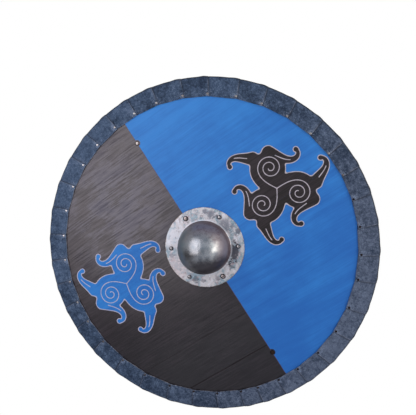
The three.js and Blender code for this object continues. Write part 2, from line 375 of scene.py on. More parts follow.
def soft_box(name, left, above, reach, width, height, power, colour):
    turn, lift = math.radians(left), math.radians(above)
    toward = view_back * math.cos(turn) * math.cos(lift)
    toward += -view_right * math.sin(turn) * math.cos(lift) + view_up * math.sin(lift)
    lamp = in_scene(name, bpy.data.lights.new(name, "AREA"))
    lamp.data.shape = "RECTANGLE"
    lamp.data.size, lamp.data.size_y = width, height
    lamp.data.energy, lamp.data.color = power, colour
    lamp.location = boss_middle + toward * reach
    aim(lamp, -toward)
    print(name, [round(v, 2) for v in lamp.location], power, "W")


for name, values in SOFT_BOXES.items():
    soft_box(name, *values)

# %% Floor
FLOOR_LEVEL, FLOOR_HALF = -1.15, 6.0
FLOOR_GREY = srgb(236, 237, 239)
SHADOW_KEPT, SHADOW_GONE = 0.45, 0.9

floor_mesh = bpy.data.meshes.new("floor")
floor_mesh.from_pydata(
    [(x * FLOOR_HALF, y * FLOOR_HALF, FLOOR_LEVEL) for x, y in ((-1, -1), (1, -1), (1, 1), (-1, 1))],
    [], [(0, 1, 2, 3)])
floor = in_scene("floor", floor_mesh)
ground = Finish("floor")
ground_x, ground_y = split(ground.place())[:2]
far = rise(diagonal(ground_x, ground_y), SHADOW_KEPT, SHADOW_GONE)
mirrored = ground.ray("Glossy") * rise(ground_y, *BACKDROP_RANGE)
white_floor = far * (ground.ray("Camera") + mirrored).smaller(1.0)
matt = ground.node("ShaderNodeBsdfDiffuse", {}, {"Color": FLOOR_GREY})
plain = ground.node("ShaderNodeEmission", {}, {"Color": WHITE, "Strength": 1.0})
blended = ground.node("ShaderNodeMixShader", {}, {0: white_floor, 1: matt, 2: plain})
ground.node("ShaderNodeOutputMaterial", {}, {"Surface": blended})
floor_mesh.materials.append(ground.material)
print("floor", FLOOR_LEVEL, "m below the middle of the board")

# %% [markdown]
# ## Small mesh tools
#
# Turned pieces (rivets, washers, boss) are an outline spun round an axis. Bars and folded
# leather are a row of sections joined like the hoops of a barrel. Both give closed bodies,
# because every piece of a real shield has a thickness.

# %% Make a piece
def new_piece(name, points, faces, finish, slot, replaces=(), smooth=40):
    mesh = bpy.data.meshes.new(name)
    mesh.from_pydata([tuple(point) for point in points], [], faces)
    mesh.validate()
    mesh.materials.append(finish)
    piece = in_scene(name, mesh)
    finish_piece(piece, replaces, smooth)
    return piece


def finish_piece(piece, replaces, smooth):
    """Shades the piece, smooth up to an angle between faces, and ties it to the frame."""
    shape = bmesh.new()
    shape.from_mesh(piece.data)
    bmesh.ops.recalc_face_normals(shape, faces=shape.faces)
    for face in shape.faces:
        face.smooth = True
    for edge in shape.edges:
        edge.smooth = len(edge.link_faces) == 2 and edge.calc_face_angle() < math.radians(smooth)
    shape.to_mesh(piece.data)
    shape.free()
    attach(piece, "root")
    if replaces:
        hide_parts(*replaces)


def piece_of_shape(name, shape, finish):
    """The object of a shape that was cut with Blender's own mesh tools."""
    mesh = bpy.data.meshes.new(name)
    shape.to_mesh(mesh)
    shape.free()
    mesh.materials.append(finish)
    return in_scene(name, mesh)


def mark(piece, name, values):
    """Stores one number for each corner, for a finish to read."""
    layer = piece.data.attributes.new(name, "FLOAT", "POINT")
    layer.data.foreach_set("value", np.asarray(values, np.float32))


# %% Turned and hooped bodies
def quarter(steps):
    """The angles of a quarter turn in equal steps, both ends included."""
    return [i / steps * math.pi / 2 for i in range(steps + 1)]


def domed(radius, top, height, steps):
    """Outline of [radius, y] of a round head, from its top to its edge."""
    return [(radius * math.sin(bend), top + height * (1 - math.cos(bend))) for bend in quarter(steps)]


def spun(outline, sides, x=0.0, z=0.0):
    """Points and faces of an outline of [radius, y] spun round an axis along Y through (x, z)."""
    points, rings = [], []
    for radius, y in outline:
        count = sides if radius > 0 else 1
        rings.append(range(len(points), len(points) + count))
        for i in range(count):
            turn = 2 * math.pi * i / count
            points.append(Vector((x + radius * math.cos(turn), y, z + radius * math.sin(turn))))
    faces = []
    for ring, after in zip(rings, rings[1:]):
        for i in range(sides):
            here = [ring[i % len(ring)], ring[(i + 1) % len(ring)]]
            there = [after[(i + 1) % len(after)], after[i % len(after)]]
            faces.append(tuple(dict.fromkeys(here + there)))
    return points, faces


def hooped(sections, caps=True):
    """Points and faces of a body through sections that all have the same number of points."""
    count = len(sections[0])
    points = [point for section in sections for point in section]
    faces = []
    for s in range(len(sections) - 1):
        for i in range(count):
            j = (i + 1) % count
            faces.append((s * count + i, s * count + j, (s + 1) * count + j, (s + 1) * count + i))
    if caps:
        last = (len(sections) - 1) * count
        faces.append(tuple(reversed(range(count))))
        faces.append(tuple(range(last, last + count)))
    return points, faces


# %% Easing and unevenness
def eased(value, low, high):
    """0 below the low value, 1 above the high one, and smooth between."""
    share = min(1.0, max(0.0, (value - low) / (high - low)))
    return share * share * (3 - 2 * share)


def wobble(*place):
    """A smooth number from -1 to 1 that is the same for the same place each time."""
    return noise.noise(Vector((*place, 0, 0)[:3]))


# %% [markdown]
# ## Painted planks
#
# Pine boards take paint unevenly: brush marks run along the board, the grain still shows as
# fine ridges, and each board has its own figure. The finish works in the board's own
# coordinates. Stretching a pattern along X gives streaks, and rings round a long flat ellipse
# give the pointed arches of a sawn board. Each mesh carries the number of its plank, `board`,
# which moves the pattern so that it breaks at each seam. The number could be worked out from
# the height instead, but then it would jump inside a bump, and the seam would turn black.

# %% Wood grain
FINE_SCALE, BROAD_SCALE = 17.0, 3.4
STREAKS = {"X": (1.0, 6.0, 20.0), "Z": (20.0, 6.0, 1.0)}
PITH_SPREAD = 1.5
RING_PITCH, RING_WAVER, RING_FLATNESS = 10.5 * MM, 20 * MM, 0.06


def wood_grain(place, number, along="X"):
    """Fine streaks, broad streaks and sawn figure of one board, each from 0 to 1."""
    long_way = place * STREAKS[along]
    fine = pattern(long_way, FINE_SCALE, 5.0, 0.62, number)
    broad = pattern(long_way, BROAD_SCALE, 3.0, 0.5, number + 7.3)
    x, y, z = split(place)
    run, across = (x, z) if along == "X" else (z, x)
    pith = chance(number)
    middle = (number + 0.3 + pith * 0.4) * plank_width if along == "X" else 0.0
    flat = (run - (pith - 0.5) * PITH_SPREAD) * (RING_FLATNESS + pith * RING_FLATNESS)
    waver = (pattern(place, 7.0, 3.0, 0.5, number) - 0.5) * RING_WAVER
    ring = diagonal(flat, across - middle) + waver
    figure = (ring * (2 * math.pi / RING_PITCH)).sine() * 0.5 + 0.5
    return fine, broad, figure


# %% Seams and dirt
SEAM_SOOT = 3.5 * MM
DIRT_RANGE = (-250 * MM, -70 * MM)


def off_seam(z):
    """Distance of a height from the nearest seam."""
    return abs((z / plank_width + 0.5).fraction() - 0.5) * plank_width


def in_seam(z):
    """1 on a seam, 0 beside it."""
    return 1 - rise(off_seam(z), 0.0, SEAM_SOOT)


def low_down(z):
    """1 at the bottom of the board, where dirt stays, and 0 from a little below the middle."""
    return 1 - rise(z, *DIRT_RANGE)


# %% [markdown]
# Both paints are mixed and brushed by hand, so neither is one colour. Clouds, streaks and
# height add up to a tone, and the tone picks a place between a deep and a paler colour. The
# height term is painted light: both paints are painted lighter toward the top. Soot has
# settled in the black's seams, most in the low ones. One relief serves both paints, because
# brush and wood are the same.

# %% The two paints
BLUE_BRIGHT = srgb(40, 130, 213)
BLUE_DEEP = srgb(15, 97, 182)
# Painted light: how much lighter the blue is painted toward the top.
BLUE_LIGHTER_UP = 0.35
BLACK_PALER = srgb(46, 38, 45)
BLACK_DEEP = srgb(16, 11, 14)
# Painted light: how much lighter the black is painted toward the top.
BLACK_LIGHTER_UP = 0.75
WAVES_DEEP, BRUSH_DEEP = 2.2 * MM, 0.5 * MM


def blue_paint(place, fine, broad, figure):
    patch = pattern(place, 9.0, 4.0, 0.6)
    x, y, z = split(place)
    # The height term is painted light: the blue is lighter toward the top.
    tone = rise(broad * 0.35 + patch * 0.5 + fine * 0.25 + z * BLUE_LIGHTER_UP, 0.36, 0.78)
    return mix(figure * fine * 0.16, mix(tone, BLUE_DEEP, BLUE_BRIGHT), BLUE_BRIGHT)


def black_paint(place, fine, broad, figure):
    patch = pattern(place, 11.0, 5.0, 0.62)
    brushed = rise(fine, 0.4, 0.62)
    x, y, z = split(place)
    # The height term is painted light: the black is lighter toward the top.
    tone = rise(broad * 0.25 + patch * 0.6 + brushed * 0.3 + z * BLACK_LIGHTER_UP, 0.28, 0.95)
    sooty = rise(patch + fine * 0.5, 0.72, 0.86).larger(low_down(z) * 0.6)
    return mix(sooty * in_seam(z) * 0.8, mix(tone, BLACK_DEEP, BLACK_PALER), BLACK_DEEP)


def painted_relief(place, fine, figure):
    """Brush ridges over grain over the slow waves of a planed board."""
    slow = bump(pattern(place, 14.0, 2.0), WAVES_DEEP, 0.35)
    return bump(fine * 0.85 + figure * 0.15, BRUSH_DEEP, 0.65, slow)


# %% The border and the bare back
BORDER_SHIFT, BORDER_WAVER, BORDER_SOFT = 0.4 * MM, 1.6 * MM, 0.25 * MM
END_RIVET_PAINT, DAUB_SHIFT = 7.5 * MM, 0.8 * MM
WOOD_LIGHT = srgb(156, 121, 84)
WOOD_DARK = srgb(112, 80, 52)
WOOD_SEAM = srgb(58, 42, 30)
WOOD_SEAM_RANGE = (0.3 * MM, 1.1 * MM)
end_rivet_heights = [middle_of(f"grip_rivet_{i}")[1] for i in (3, 4)]


def blue_share(edge, x, z):
    """1 where the paint is blue: right of the border, less a daub of black round each end rivet."""
    blue = rise(edge, -BORDER_SOFT, BORDER_SOFT)
    for height in end_rivet_heights:
        blue = blue * (1 - spot(x, z, (0.0, height + DAUB_SHIFT), END_RIVET_PAINT, 0.93))
    return blue


def bare_wood(place, board, z, fine, broad, figure):
    grain = rise(fine * 0.8 + figure * 0.3 + broad * 0.2, 0.35, 1.0)
    own = chance(board + 3.5)
    bare = mix(pattern(place, 7.0) * 0.4 + own * 0.35, mix(grain, WOOD_LIGHT, WOOD_DARK), WOOD_DARK)
    return mix(0.7 - rise(off_seam(z), *WOOD_SEAM_RANGE) * 0.7, bare, WOOD_SEAM)


# %% [markdown]
# The black half shines a little, where the blue is dull. It was waxed over, and weather has
# taken some wax off at the bottom and near the left edge, so a coat goes over the paint
# whose strength varies. On the upper left the black is painted paler, as painted sheen,
# broken up by clouds. In the low seams soot takes the shine away. All of that stops at the
# border and at the bare back.

# %% Plank finish
PAINT_DEPTH = 1.2 * MM
# Knots and specks under the black: x, z and radius in millimetres, and strength.
KNOTS = ((-90.5, 58, 2.6, 0.9), (-92, 48.5, 2.2, 0.8), (-206, -231, 5, 0.35), (-213, -210, 4, 0.3),
         (-226, -168, 5, 0.35), (-242, -171, 4, 0.3), (-158, -278, 5, 0.35))
# Colour, place and reach of the painted sheen on the upper left of the black.
BLACK_SHEEN_COLOUR = srgb(122, 122, 144)
BLACK_SHEEN_PLACE, BLACK_SHEEN_REACH = (-130 * MM, 190 * MM), 210 * MM
BORDER_BROWN = srgb(70, 46, 48)
BORDER_HALF = 0.7 * MM
WAXED_HEIGHTS, WAXED_ACROSS = (-310 * MM, -190 * MM), (-300 * MM, -200 * MM)


def paint_colour(place, blue, edge, dust_and_sheen, x, z, fine, broad, figure):
    # Painted sheen: the black is painted paler on the upper left, broken up by clouds.
    painted_black_sheen = spot(x, z, BLACK_SHEEN_PLACE, BLACK_SHEEN_REACH, 0.2) * rise(dust_and_sheen + fine * 0.6, 0.7, 0.9)
    black = mix(painted_black_sheen * 0.29, black_paint(place, fine, broad, figure), BLACK_SHEEN_COLOUR)
    paint = mix(blue, black, blue_paint(place, fine, broad, figure))
    for across, height, radius, depth in KNOTS:
        paint = mix(spot(x, z, (across * MM, height * MM), radius * MM) * depth, paint, BLACK_DEEP)
    border = 1 - rise(abs(edge), BORDER_HALF * 0.5, BORDER_HALF * 1.5)
    return mix(border * 0.75, paint, BORDER_BROWN)


def plank_finish():
    finish = Finish("painted_planks")
    place = finish.place()
    x, y, z = split(place)
    board = finish.attribute("board")
    fine, broad, figure = wood_grain(place, board)
    edge = x + BORDER_SHIFT + (pattern(place, 45.0, 2.0) - 0.5) * BORDER_WAVER
    blue = blue_share(edge, x, z)
    dust_and_sheen = pattern(place * (1.0, 1.0, 1.8), 13.0, 4.0, 0.6)
    paint = paint_colour(place, blue, edge, dust_and_sheen, x, z, fine, broad, figure)
    behind = rise(y, board_front + PAINT_DEPTH, board_front + 2 * PAINT_DEPTH)
    streaks, dulled = rise(fine, 0.36, 0.64) - 0.5, rise(dust_and_sheen, 0.5, 0.66)
    grimy = in_seam(z) * low_down(z)
    on_black = 0.34 - streaks * 0.1 + dulled * 0.1 + grimy * 0.6
    roughness = between(blue, on_black, 0.52 - streaks * 0.06)
    waxed = (0.4 + rise(z, *WAXED_HEIGHTS) * 0.6) * (0.65 + rise(x, *WAXED_ACROSS) * 0.35)
    shine = (1.0 + streaks * 1.1 - dulled * 0.35).smaller(1.0)
    return finish.surface(
        Base_Color=mix(behind, paint, bare_wood(place, board, z, fine, broad, figure)),
        Roughness=between(behind, roughness, 0.68), Normal=painted_relief(place, fine, figure),
        Specular_IOR_Level=0.52, Specular_Tint=(0.9, 0.88, 1.0), Coat_Roughness=0.27,
        Coat_Weight=(1 - blue) * (1 - behind) * shine * (waxed * (1 - grimy)))


plank_paint = plank_finish()
print("paint of the planks:", len(plank_paint.node_tree.nodes), "nodes")

# %% [markdown]
# ## The planks themselves
#
# A plank of a round board is a strip whose ends follow the circle, and the two middle ones
# also go round the hand hole. The outline is drawn once, given a thickness, and bevelled:
# a wide ease on the rim so that it doesn't cut the leather, a hairline one along the seams.

# %% Plank outlines
ARC_STEP = math.radians(2)


def arc(radius, start, end):
    count = max(2, round(abs(end - start) / ARC_STEP))
    turns = [start + (end - start) * i / count for i in range(count + 1)]
    return [(radius * math.cos(turn), radius * math.sin(turn)) for turn in turns]


def turn_at(height, radius):
    """The angle at which a circle about the middle reaches a height."""
    return math.asin(max(-1.0, min(1.0, height / radius)))


def plank_outline(low, high):
    """Corners (x, z) of the plank between two heights, anticlockwise, seams left out at the rim."""
    low_turn, high_turn = turn_at(low, board_radius), turn_at(high, board_radius)
    outline = arc(board_radius, low_turn, high_turn)
    if high >= board_radius:
        outline.pop()
    if abs(high) < plank_width / 2:
        hole_turn = turn_at(high, hand_hole)
        outline += arc(hand_hole, hole_turn, -math.pi - hole_turn)
    outline += arc(board_radius, math.pi - high_turn, math.pi - low_turn)
    if low <= -board_radius:
        outline.pop()
    if abs(low) < plank_width / 2:
        hole_turn = turn_at(low, hand_hole)
        outline += arc(hand_hole, math.pi - hole_turn, hole_turn)
    return outline


# %% Build the planks
SEAM_EASE = 0.5 * MM
RIM_EASE = 2.6 * MM
PLANK_STEP = 0.03 * MM
FACING_FRONT = 0.99


def ease_edges(shape):
    """Bevels the edges of both faces, wide on the rim, and fine along the seams and the hand hole."""
    flat_edges = [e for e in shape.edges if abs(e.verts[0].co.y - e.verts[1].co.y) < MM]
    # Both ends of a seam lie on the rim too, so it is the middle of an edge that tells.
    middles = {e: (e.verts[0].co + e.verts[1].co) / 2 for e in flat_edges}
    on_rim = [e for e in flat_edges if math.hypot(middles[e].x, middles[e].z) > board_radius - MM]
    seams = [e for e in flat_edges if e not in on_rim]
    for edges, width in ((on_rim, RIM_EASE), (seams, SEAM_EASE)):
        edges = [e for e in edges if e.is_valid]
        bmesh.ops.bevel(shape, geom=edges, offset=width, segments=3, affect="EDGES", profile=0.5)


def build_plank(index):
    low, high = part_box(f"plank_{index + 1}")
    bottom = -board_radius if index == 0 else round(low.z / plank_width) * plank_width
    top = board_radius if index == PLANKS - 1 else round(high.z / plank_width) * plank_width
    outline = plank_outline(bottom, top)
    proud = PLANK_STEP * (1 if index % 2 else -1)
    shape = bmesh.new()
    front = [shape.verts.new((x, board_front + proud, z)) for x, z in outline]
    back = [shape.verts.new((x, board_back + proud, z)) for x, z in outline]
    shape.faces.new(front)
    shape.faces.new(list(reversed(back)))
    for i in range(len(outline)):
        j = (i + 1) % len(outline)
        shape.faces.new((front[j], front[i], back[i], back[j]))
    bmesh.ops.recalc_face_normals(shape, faces=shape.faces)
    ease_edges(shape)
    plank = piece_of_shape(f"painted_plank_{index + 1}", shape, plank_paint)
    finish_piece(plank, [f"plank_{index + 1}"], smooth=35)
    for polygon in plank.data.polygons:
        polygon.use_smooth = abs(polygon.normal.y) < FACING_FRONT
    mark(plank, "board", np.full(len(plank.data.vertices), index - PLANKS / 2))
    return plank


planks = [build_plank(i) for i in range(PLANKS)]
print("planks:", [len(plank.data.polygons) for plank in planks], "faces")

# %% [markdown]
# ## The painted whorls
#
# Each half carries a three-armed whorl with curling tendrils, an old ornament that a brush
# can do. It is drawn as a field: at any place, how far is it to the nearest painted line?
# Strokes that swell and taper, and that melt together where they meet, are easy sums in
# that form. The sheet of paint is then cut out of a grid along the line where the field
# is zero, and the same distances, stored on its corners, tell the finish where the pale
# lines run.

# %% Strokes of the brush
STROKE_STEP = 2 * MM


def bent_stroke(start, heading, bends):
    """Points of a stroke that turns by the given bends, in turns per metre, step by step."""
    turned = math.radians(heading) + np.cumsum(bends) * STROKE_STEP
    x = start[0] + np.concatenate([[0], np.cumsum(np.cos(turned)) * STROKE_STEP])
    z = start[1] + np.concatenate([[0], np.cumsum(np.sin(turned)) * STROKE_STEP])
    return np.stack([x, z], 1)


def distance_to(points, x, z, widths=None):
    """Distance from each place to a stroke, less the stroke's half width there."""
    widths = np.zeros(len(points)) if widths is None else widths
    best = np.full(x.shape, 1.0)
    for a, b, wide_a, wide_b in zip(points[:-1], points[1:], widths[:-1], widths[1:]):
        step = b - a
        share = ((x - a[0]) * step[0] + (z - a[1]) * step[1]) / float(step @ step)
        share = np.clip(share, 0, 1)
        away = np.hypot(x - a[0] - share * step[0], z - a[1] - share * step[1])
        best = np.minimum(best, away - wide_a - (wide_b - wide_a) * share)
    return best


def melted(first, second, width):
    """The nearer of two distances, rounded where they meet."""
    share = np.clip(0.5 + 0.5 * (second - first) / width, 0, 1)
    return second + (first - second) * share - width * share * (1 - share)


# %% The whorl as a field
WHORL_ARMS = 3
ARM_LEAD, COIL_EYE, COIL_OUTER, COIL_PITCH = 60 * MM, 4 * MM, 26.5 * MM, 11.4 * MM
ARM_HEADING, ARM_EASE, NECK_EXTRA_STEPS = 112, 1.3, 4
ARM_WIDTH, NECK_WIDTH, HEAD_BORDER = 22 * MM, 15 * MM, 11 * MM
LINE_HALF = 0.95 * MM
MELT_WIDE, MELT_FINE = 9 * MM, 3 * MM
# Each tendril: where it starts, its heading, length, first and last bend, root and tip widths.
TENDRILS = (
    ((37 * MM, 71 * MM), -62, 84 * MM, -4.4, 126, 15 * MM, 3.5 * MM),
    ((2 * MM, 84 * MM), 140, 66 * MM, -9, 137, 15 * MM, 3.3 * MM),
)
TENDRIL_CURL, TENDRIL_TAPER, TIP_SWELL = 2.2, 0.8, 2.2 * MM
RIB_SHARES = (0.2, 0.62)


def coiled_arm():
    """From the middle of the whorl out along an arm and round into its coil."""
    coil = math.pi * (COIL_OUTER ** 2 - COIL_EYE ** 2) / COIL_PITCH
    run = np.arange(0, ARM_LEAD + coil, STROKE_STEP)
    left = np.clip(ARM_LEAD + coil - run, 0, coil)
    radius = np.sqrt(COIL_EYE ** 2 + COIL_PITCH / math.pi * left)
    return bent_stroke((0, 0), ARM_HEADING, -np.clip(run / ARM_LEAD, 0, 1) ** ARM_EASE / radius)


def whorl_field(x, z):
    """Two distances at each place: to the whorl's outline, and to the nearest pale line."""
    bodies, lines = [], []
    arm = coiled_arm()
    eye = arm[-1]
    neck = arm[: int(ARM_LEAD / STROKE_STEP) + NECK_EXTRA_STEPS]
    for k in range(WHORL_ARMS):
        turn = 2 * math.pi * k / WHORL_ARMS
        u = x * math.cos(turn) + z * math.sin(turn)
        v = z * math.cos(turn) - x * math.sin(turn)
        body = distance_to(neck, u, v, np.linspace(ARM_WIDTH, NECK_WIDTH, len(neck)))
        head = np.hypot(u - eye[0], v - eye[1]) - COIL_OUTER - HEAD_BORDER
        body = melted(body, head, MELT_WIDE)
        for start, heading, length, first, last, root, tip in TENDRILS:
            share = np.arange(0, length, STROKE_STEP) / length
            stroke = bent_stroke(start, heading, first + (last - first) * share ** TENDRIL_CURL)
            taper = np.linspace(0, 1, len(stroke)) ** TENDRIL_TAPER
            body = melted(body, distance_to(stroke, u, v, root + (tip - root) * taper), 2 * MELT_FINE)
            end = np.hypot(u - stroke[-1][0], v - stroke[-1][1]) - tip - TIP_SWELL
            body = melted(body, end, MELT_FINE)
            low, high = (int(len(stroke) * share) for share in RIB_SHARES)
            lines.append(distance_to(stroke[low:high], u, v))
        bodies.append(body)
        lines.append(distance_to(arm, u, v))
    outline = bodies[0]
    for body in bodies[1:]:
        outline = melted(outline, body, 2 * MELT_FINE)
    inner = np.where(outline < 0, np.minimum.reduce(lines), 1.0)
    return outline - LINE_HALF, np.minimum(np.abs(outline), inner) - LINE_HALF


# %% Cut the sheet of paint out of a grid
def cut_sheet(outline, line):
    """The part of a grid where the outline's field is below zero, as points, faces and line values."""
    rows, columns = outline.shape
    points, faces, values, known = [], [], [], {}

    def corner(i, j):
        if (i, j) not in known:
            known[i, j] = len(points)
            points.append((j, i))
            values.append(line[i, j])
        return known[i, j]

    def crossing(a, b):
        key = (a, b) if a < b else (b, a)
        if key not in known:
            share = outline[a] / (outline[a] - outline[b])
            known[key] = len(points)
            points.append((a[1] + (b[1] - a[1]) * share, a[0] + (b[0] - a[0]) * share))
            values.append(line[a] + (line[b] - line[a]) * share)
        return known[key]

    for i in range(rows - 1):
        for j in range(columns - 1):
            ring = ((i, j), (i, j + 1), (i + 1, j + 1), (i + 1, j))
            if all(outline[place] >= 0 for place in ring):
                continue
            face = []
            for a, b in zip(ring, ring[1:] + ring[:1]):
                if outline[a] < 0:
                    face.append(corner(*a))
                if (outline[a] < 0) != (outline[b] < 0):
                    face.append(crossing(a, b))
            faces.append(tuple(face))
    return np.array(points, float), faces, values


# %% Finish of a whorl
LINE_PALE = srgb(190, 184, 198)
LINE_WAVER, LINE_EDGE = 0.5 * MM, (-0.3 * MM, 0.25 * MM)


def whorl_finish(name, on_blue):
    """Paint of the other half's colour, with the pale lines that the stored distances mark."""
    finish = Finish(name)
    place = finish.place()
    fine, broad, figure = wood_grain(place, finish.attribute("board"))
    coat = black_paint if on_blue else blue_paint
    unsteady = (pattern(place, 120.0, 2.0) - 0.5) * LINE_WAVER
    pale = 1 - rise(finish.attribute("line") + unsteady, *LINE_EDGE)
    thin = rise(fine, 0.25, 0.6) * 0.35 + 0.6
    return finish.surface(
        Base_Color=mix(pale * thin, coat(place, fine, broad, figure), LINE_PALE),
        Roughness=0.5 + (fine - 0.5) * 0.25, Normal=painted_relief(place, fine, figure),
        Specular_IOR_Level=0.4)


# %% [markdown]
# The sheet lies on the board and dips into each seam that it crosses, as paint does. So it is
# cut along both lips and the bottom of the seam, split at the bottom, and each side carries
# the number of its own plank. The two whorls are the same drawing, once mirrored.

# %% Lay a sheet over the seams
PAINT_LIFT = 0.16 * MM
GROOVE_HALF, GROOVE_DEEP = 0.35 * MM, 0.14 * MM
SEAMS_UNDER_WHORLS = range(-1, 3)
SAME_PLACE, ON_SEAM = 0.0001 * MM, 0.01 * MM


def beside_seam(corner):
    return abs((corner.co.z / plank_width + 0.5) % 1 - 0.5) * plank_width


def groove_seams(shape, board):
    """Cuts the sheet at the seams, presses it in there, and stores the number of each plank."""
    for seam in SEAMS_UNDER_WHORLS:
        for side in (-1, 0, 1):
            height = seam * plank_width + side * GROOVE_HALF
            bmesh.ops.bisect_plane(
                shape, geom=shape.verts[:] + shape.edges[:] + shape.faces[:], dist=SAME_PLACE,
                plane_co=(0, 0, height), plane_no=(0, 0, 1))
    seams = [edge for edge in shape.edges if all(beside_seam(corner) < ON_SEAM for corner in edge.verts)]
    bmesh.ops.split_edges(shape, edges=seams)
    for corner in shape.verts:
        heights = [face.calc_center_median().z for face in corner.link_faces]
        corner[board] = math.floor(sum(heights) / max(1, len(heights)) / plank_width)
        corner.co.y += GROOVE_DEEP * max(0.0, 1 - beside_seam(corner) / GROOVE_HALF)


# %% Paint one whorl on each half
SHEET_CELL = 1.0 * MM
SHEET_REACH = 135 * MM
# Each whorl: its middle, how far it is turned in degrees, and 1 or -1 for its hand.
WHORL_PLACES = {
    "whorl_on_blue": (Vector((209 * MM, 24 * MM)), 8, 1),
    "whorl_on_black": (Vector((-207 * MM, 26 * MM)), 68, -1),
}


def paint_whorl(name, middle, tilt, hand):
    count = int(2 * SHEET_REACH / SHEET_CELL) + 1
    ticks = np.linspace(-SHEET_REACH, SHEET_REACH, count)
    u, v = np.meshgrid(ticks, ticks)
    turn = math.radians(tilt)
    x = u * math.cos(turn) + v * math.sin(turn)
    z = v * math.cos(turn) - u * math.sin(turn)
    outline, line = whorl_field(x * hand, z)
    grid, faces, values = cut_sheet(outline, line)
    spacing = ticks[1] - ticks[0]
    shape = bmesh.new()
    stored, board = (shape.verts.layers.float.new(kind) for kind in ("line", "board"))
    corners = []
    for (column, row), value in zip(grid, values):
        place = (middle.x - SHEET_REACH + column * spacing, board_front - PAINT_LIFT,
                 middle.y - SHEET_REACH + row * spacing)
        corners.append(shape.verts.new(place))
        corners[-1][stored] = value
    for face in faces:
        if len(set(face)) > 2:
            shape.faces.new([corners[i] for i in face])
    groove_seams(shape, board)
    whorl = piece_of_shape(name, shape, whorl_finish(name, hand > 0))
    for polygon in whorl.data.polygons:
        polygon.use_smooth = True
    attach(whorl, "root")
    radius = float(np.hypot(u, v)[outline < 0].max())
    print(name, len(whorl.data.polygons), "faces, radius", round(radius / MM), "mm")


for name, where in WHORL_PLACES.items():
    paint_whorl(name, *where)

# %% [markdown]
# ## The leather rim
#
# This is the piece that takes the most care. A strip of thick leather is folded over the
# board's edge, its far end is tucked under the next strip, and one nail goes through both.
# So each strip lies on the board for most of its length, and climbs on to its neighbour at
# one end. Its section is a path round the edge with an inward and an outward skin; moving
# both skins out by the neighbour's thickness makes the climb.

# %% The way round the board's edge
LEATHER = 2.2 * MM
GAP = 0.3 * MM
EDGE_SLACK = 0.5 * MM
LOOSE_FOLD, LOOSE_SIDE = 1.7 * MM, math.radians(-20)
FOLD_STEPS, FRONT_STEPS, BACK_STEPS = 5, 9, 6
CLOSER_AT_CUT = 1.5
SHORTEST_STEP = 0.05 * MM


def strip_path(front_end, back_end, angle):
    """The way round the board's edge: place (radius, y), outward direction, leg share from the cut."""
    half = board_half + GAP
    slack = LOOSE_FOLD * (0.5 + 0.5 * math.cos(angle - LOOSE_SIDE))
    knee = board_radius + EDGE_SLACK + slack - RIM_EASE
    path = []
    for i in range(FRONT_STEPS):
        share = (i / (FRONT_STEPS - 1)) ** CLOSER_AT_CUT
        path.append((front_end + (knee - front_end) * share, board_middle - half, 0.0, -1.0, share))
    for side, bends in ((-1, quarter(FOLD_STEPS)), (1, quarter(FOLD_STEPS)[::-1])):
        for bend in bends:
            out, forth = math.sin(bend), side * math.cos(bend)
            path.append((knee + RIM_EASE * out, board_middle + side * (half - RIM_EASE)
                         + RIM_EASE * forth, out, forth, 1.0))
    for i in range(BACK_STEPS):
        share = 1 - i / (BACK_STEPS - 1)
        path.append((back_end + (knee - back_end) * share, board_middle + half, 0.0, 1.0, share))
    keep = [path[0]]
    for stop in path[1:]:
        if math.hypot(stop[0] - keep[-1][0], stop[1] - keep[-1][1]) > SHORTEST_STEP:
            keep.append(stop)
    return keep


# %% One section of a strip
SLANT = 3 * MM
CUT_EASE = 0.45 * MM
CUT_SHARES = (0.22, 0.78)
EDGE_RAGGED, RAGGED_SCALE = 0.35 * MM, 90
PUFF, PUFF_ACROSS, PUFF_ALONG, PUFF_FROM_CUT = 0.3 * MM, 38, 26, 4


def strip_section(path, level, thick, angle, seed, cut_share):
    """The closed section at one angle: each point with its paleness, from wear and from painted highlight
    on the cut edges, and how far it is round the fold.
    """

    def put(radius, y):
        lean = SLANT * (radius - nail_radius) / (board_radius - nail_radius) / board_radius
        ragged = EDGE_RAGGED * wobble(radius * RAGGED_SCALE, seed) * cut_share / board_radius
        turn = angle + lean + ragged
        return Vector((radius * math.cos(turn), y, radius * math.sin(turn)))

    outer, inner = [], []
    for radius, y, out, forth, share in path:
        swell = 0.5 + 0.5 * wobble(radius * PUFF_ACROSS, angle * PUFF_ALONG, seed)
        puff = PUFF * swell * min(1.0, PUFF_FROM_CUT * share)
        top = level + thick + puff
        outer.append((put(radius + out * top, y + forth * top), 0.0, out))
        inner.append((put(radius + out * level, y + forth * level), 0.0, out))
    back_cut, front_cut = (
        [(put(radius - CUT_EASE, y + forth * (level + thick * s)), 1.0, 0.0) for s in shares]
        for (radius, y, out, forth, share), shares in ((path[-1], CUT_SHARES[::-1]), (path[0], CUT_SHARES)))
    return outer + back_cut + inner[::-1] + front_cut


# %% [markdown]
# Along its length a strip changes at both ends only, so the sections stand close together
# there and far apart between. It is thinned with a skiving knife where it is tucked under,
# and a little at its top end, so that the lap makes no lump.

# %% Along a strip
TUCK, OVERHANG = 7 * MM, 3.4 * MM
CLIMB_TOP, CLIMB_RUN = 6.5 * MM, 16 * MM
SKIVED, TOP_THINNED = 0.9 * MM, 0.7 * MM
LIFT = SKIVED + GAP
END_EASE, SKIVE_RUN = 0.4 * MM, 2.2 * MM
END_LIFT_SHARE, END_THICK_SHARE = 0.2, 0.6
# Sections beside a strip's own nail, up its climb, and before and after the next nail.
NEAR_NAIL, CLIMB_SHARES = (-1.6, 0, 2.5, 5), (0.2, 0.4, 0.6, 0.8, 1.0)
NEAR_NEXT_NAIL = (-8, -5.6, -4.6, -3.9, -3.4, -2.2, -1.1, 3)
SECTION_SPACING = 6 * MM


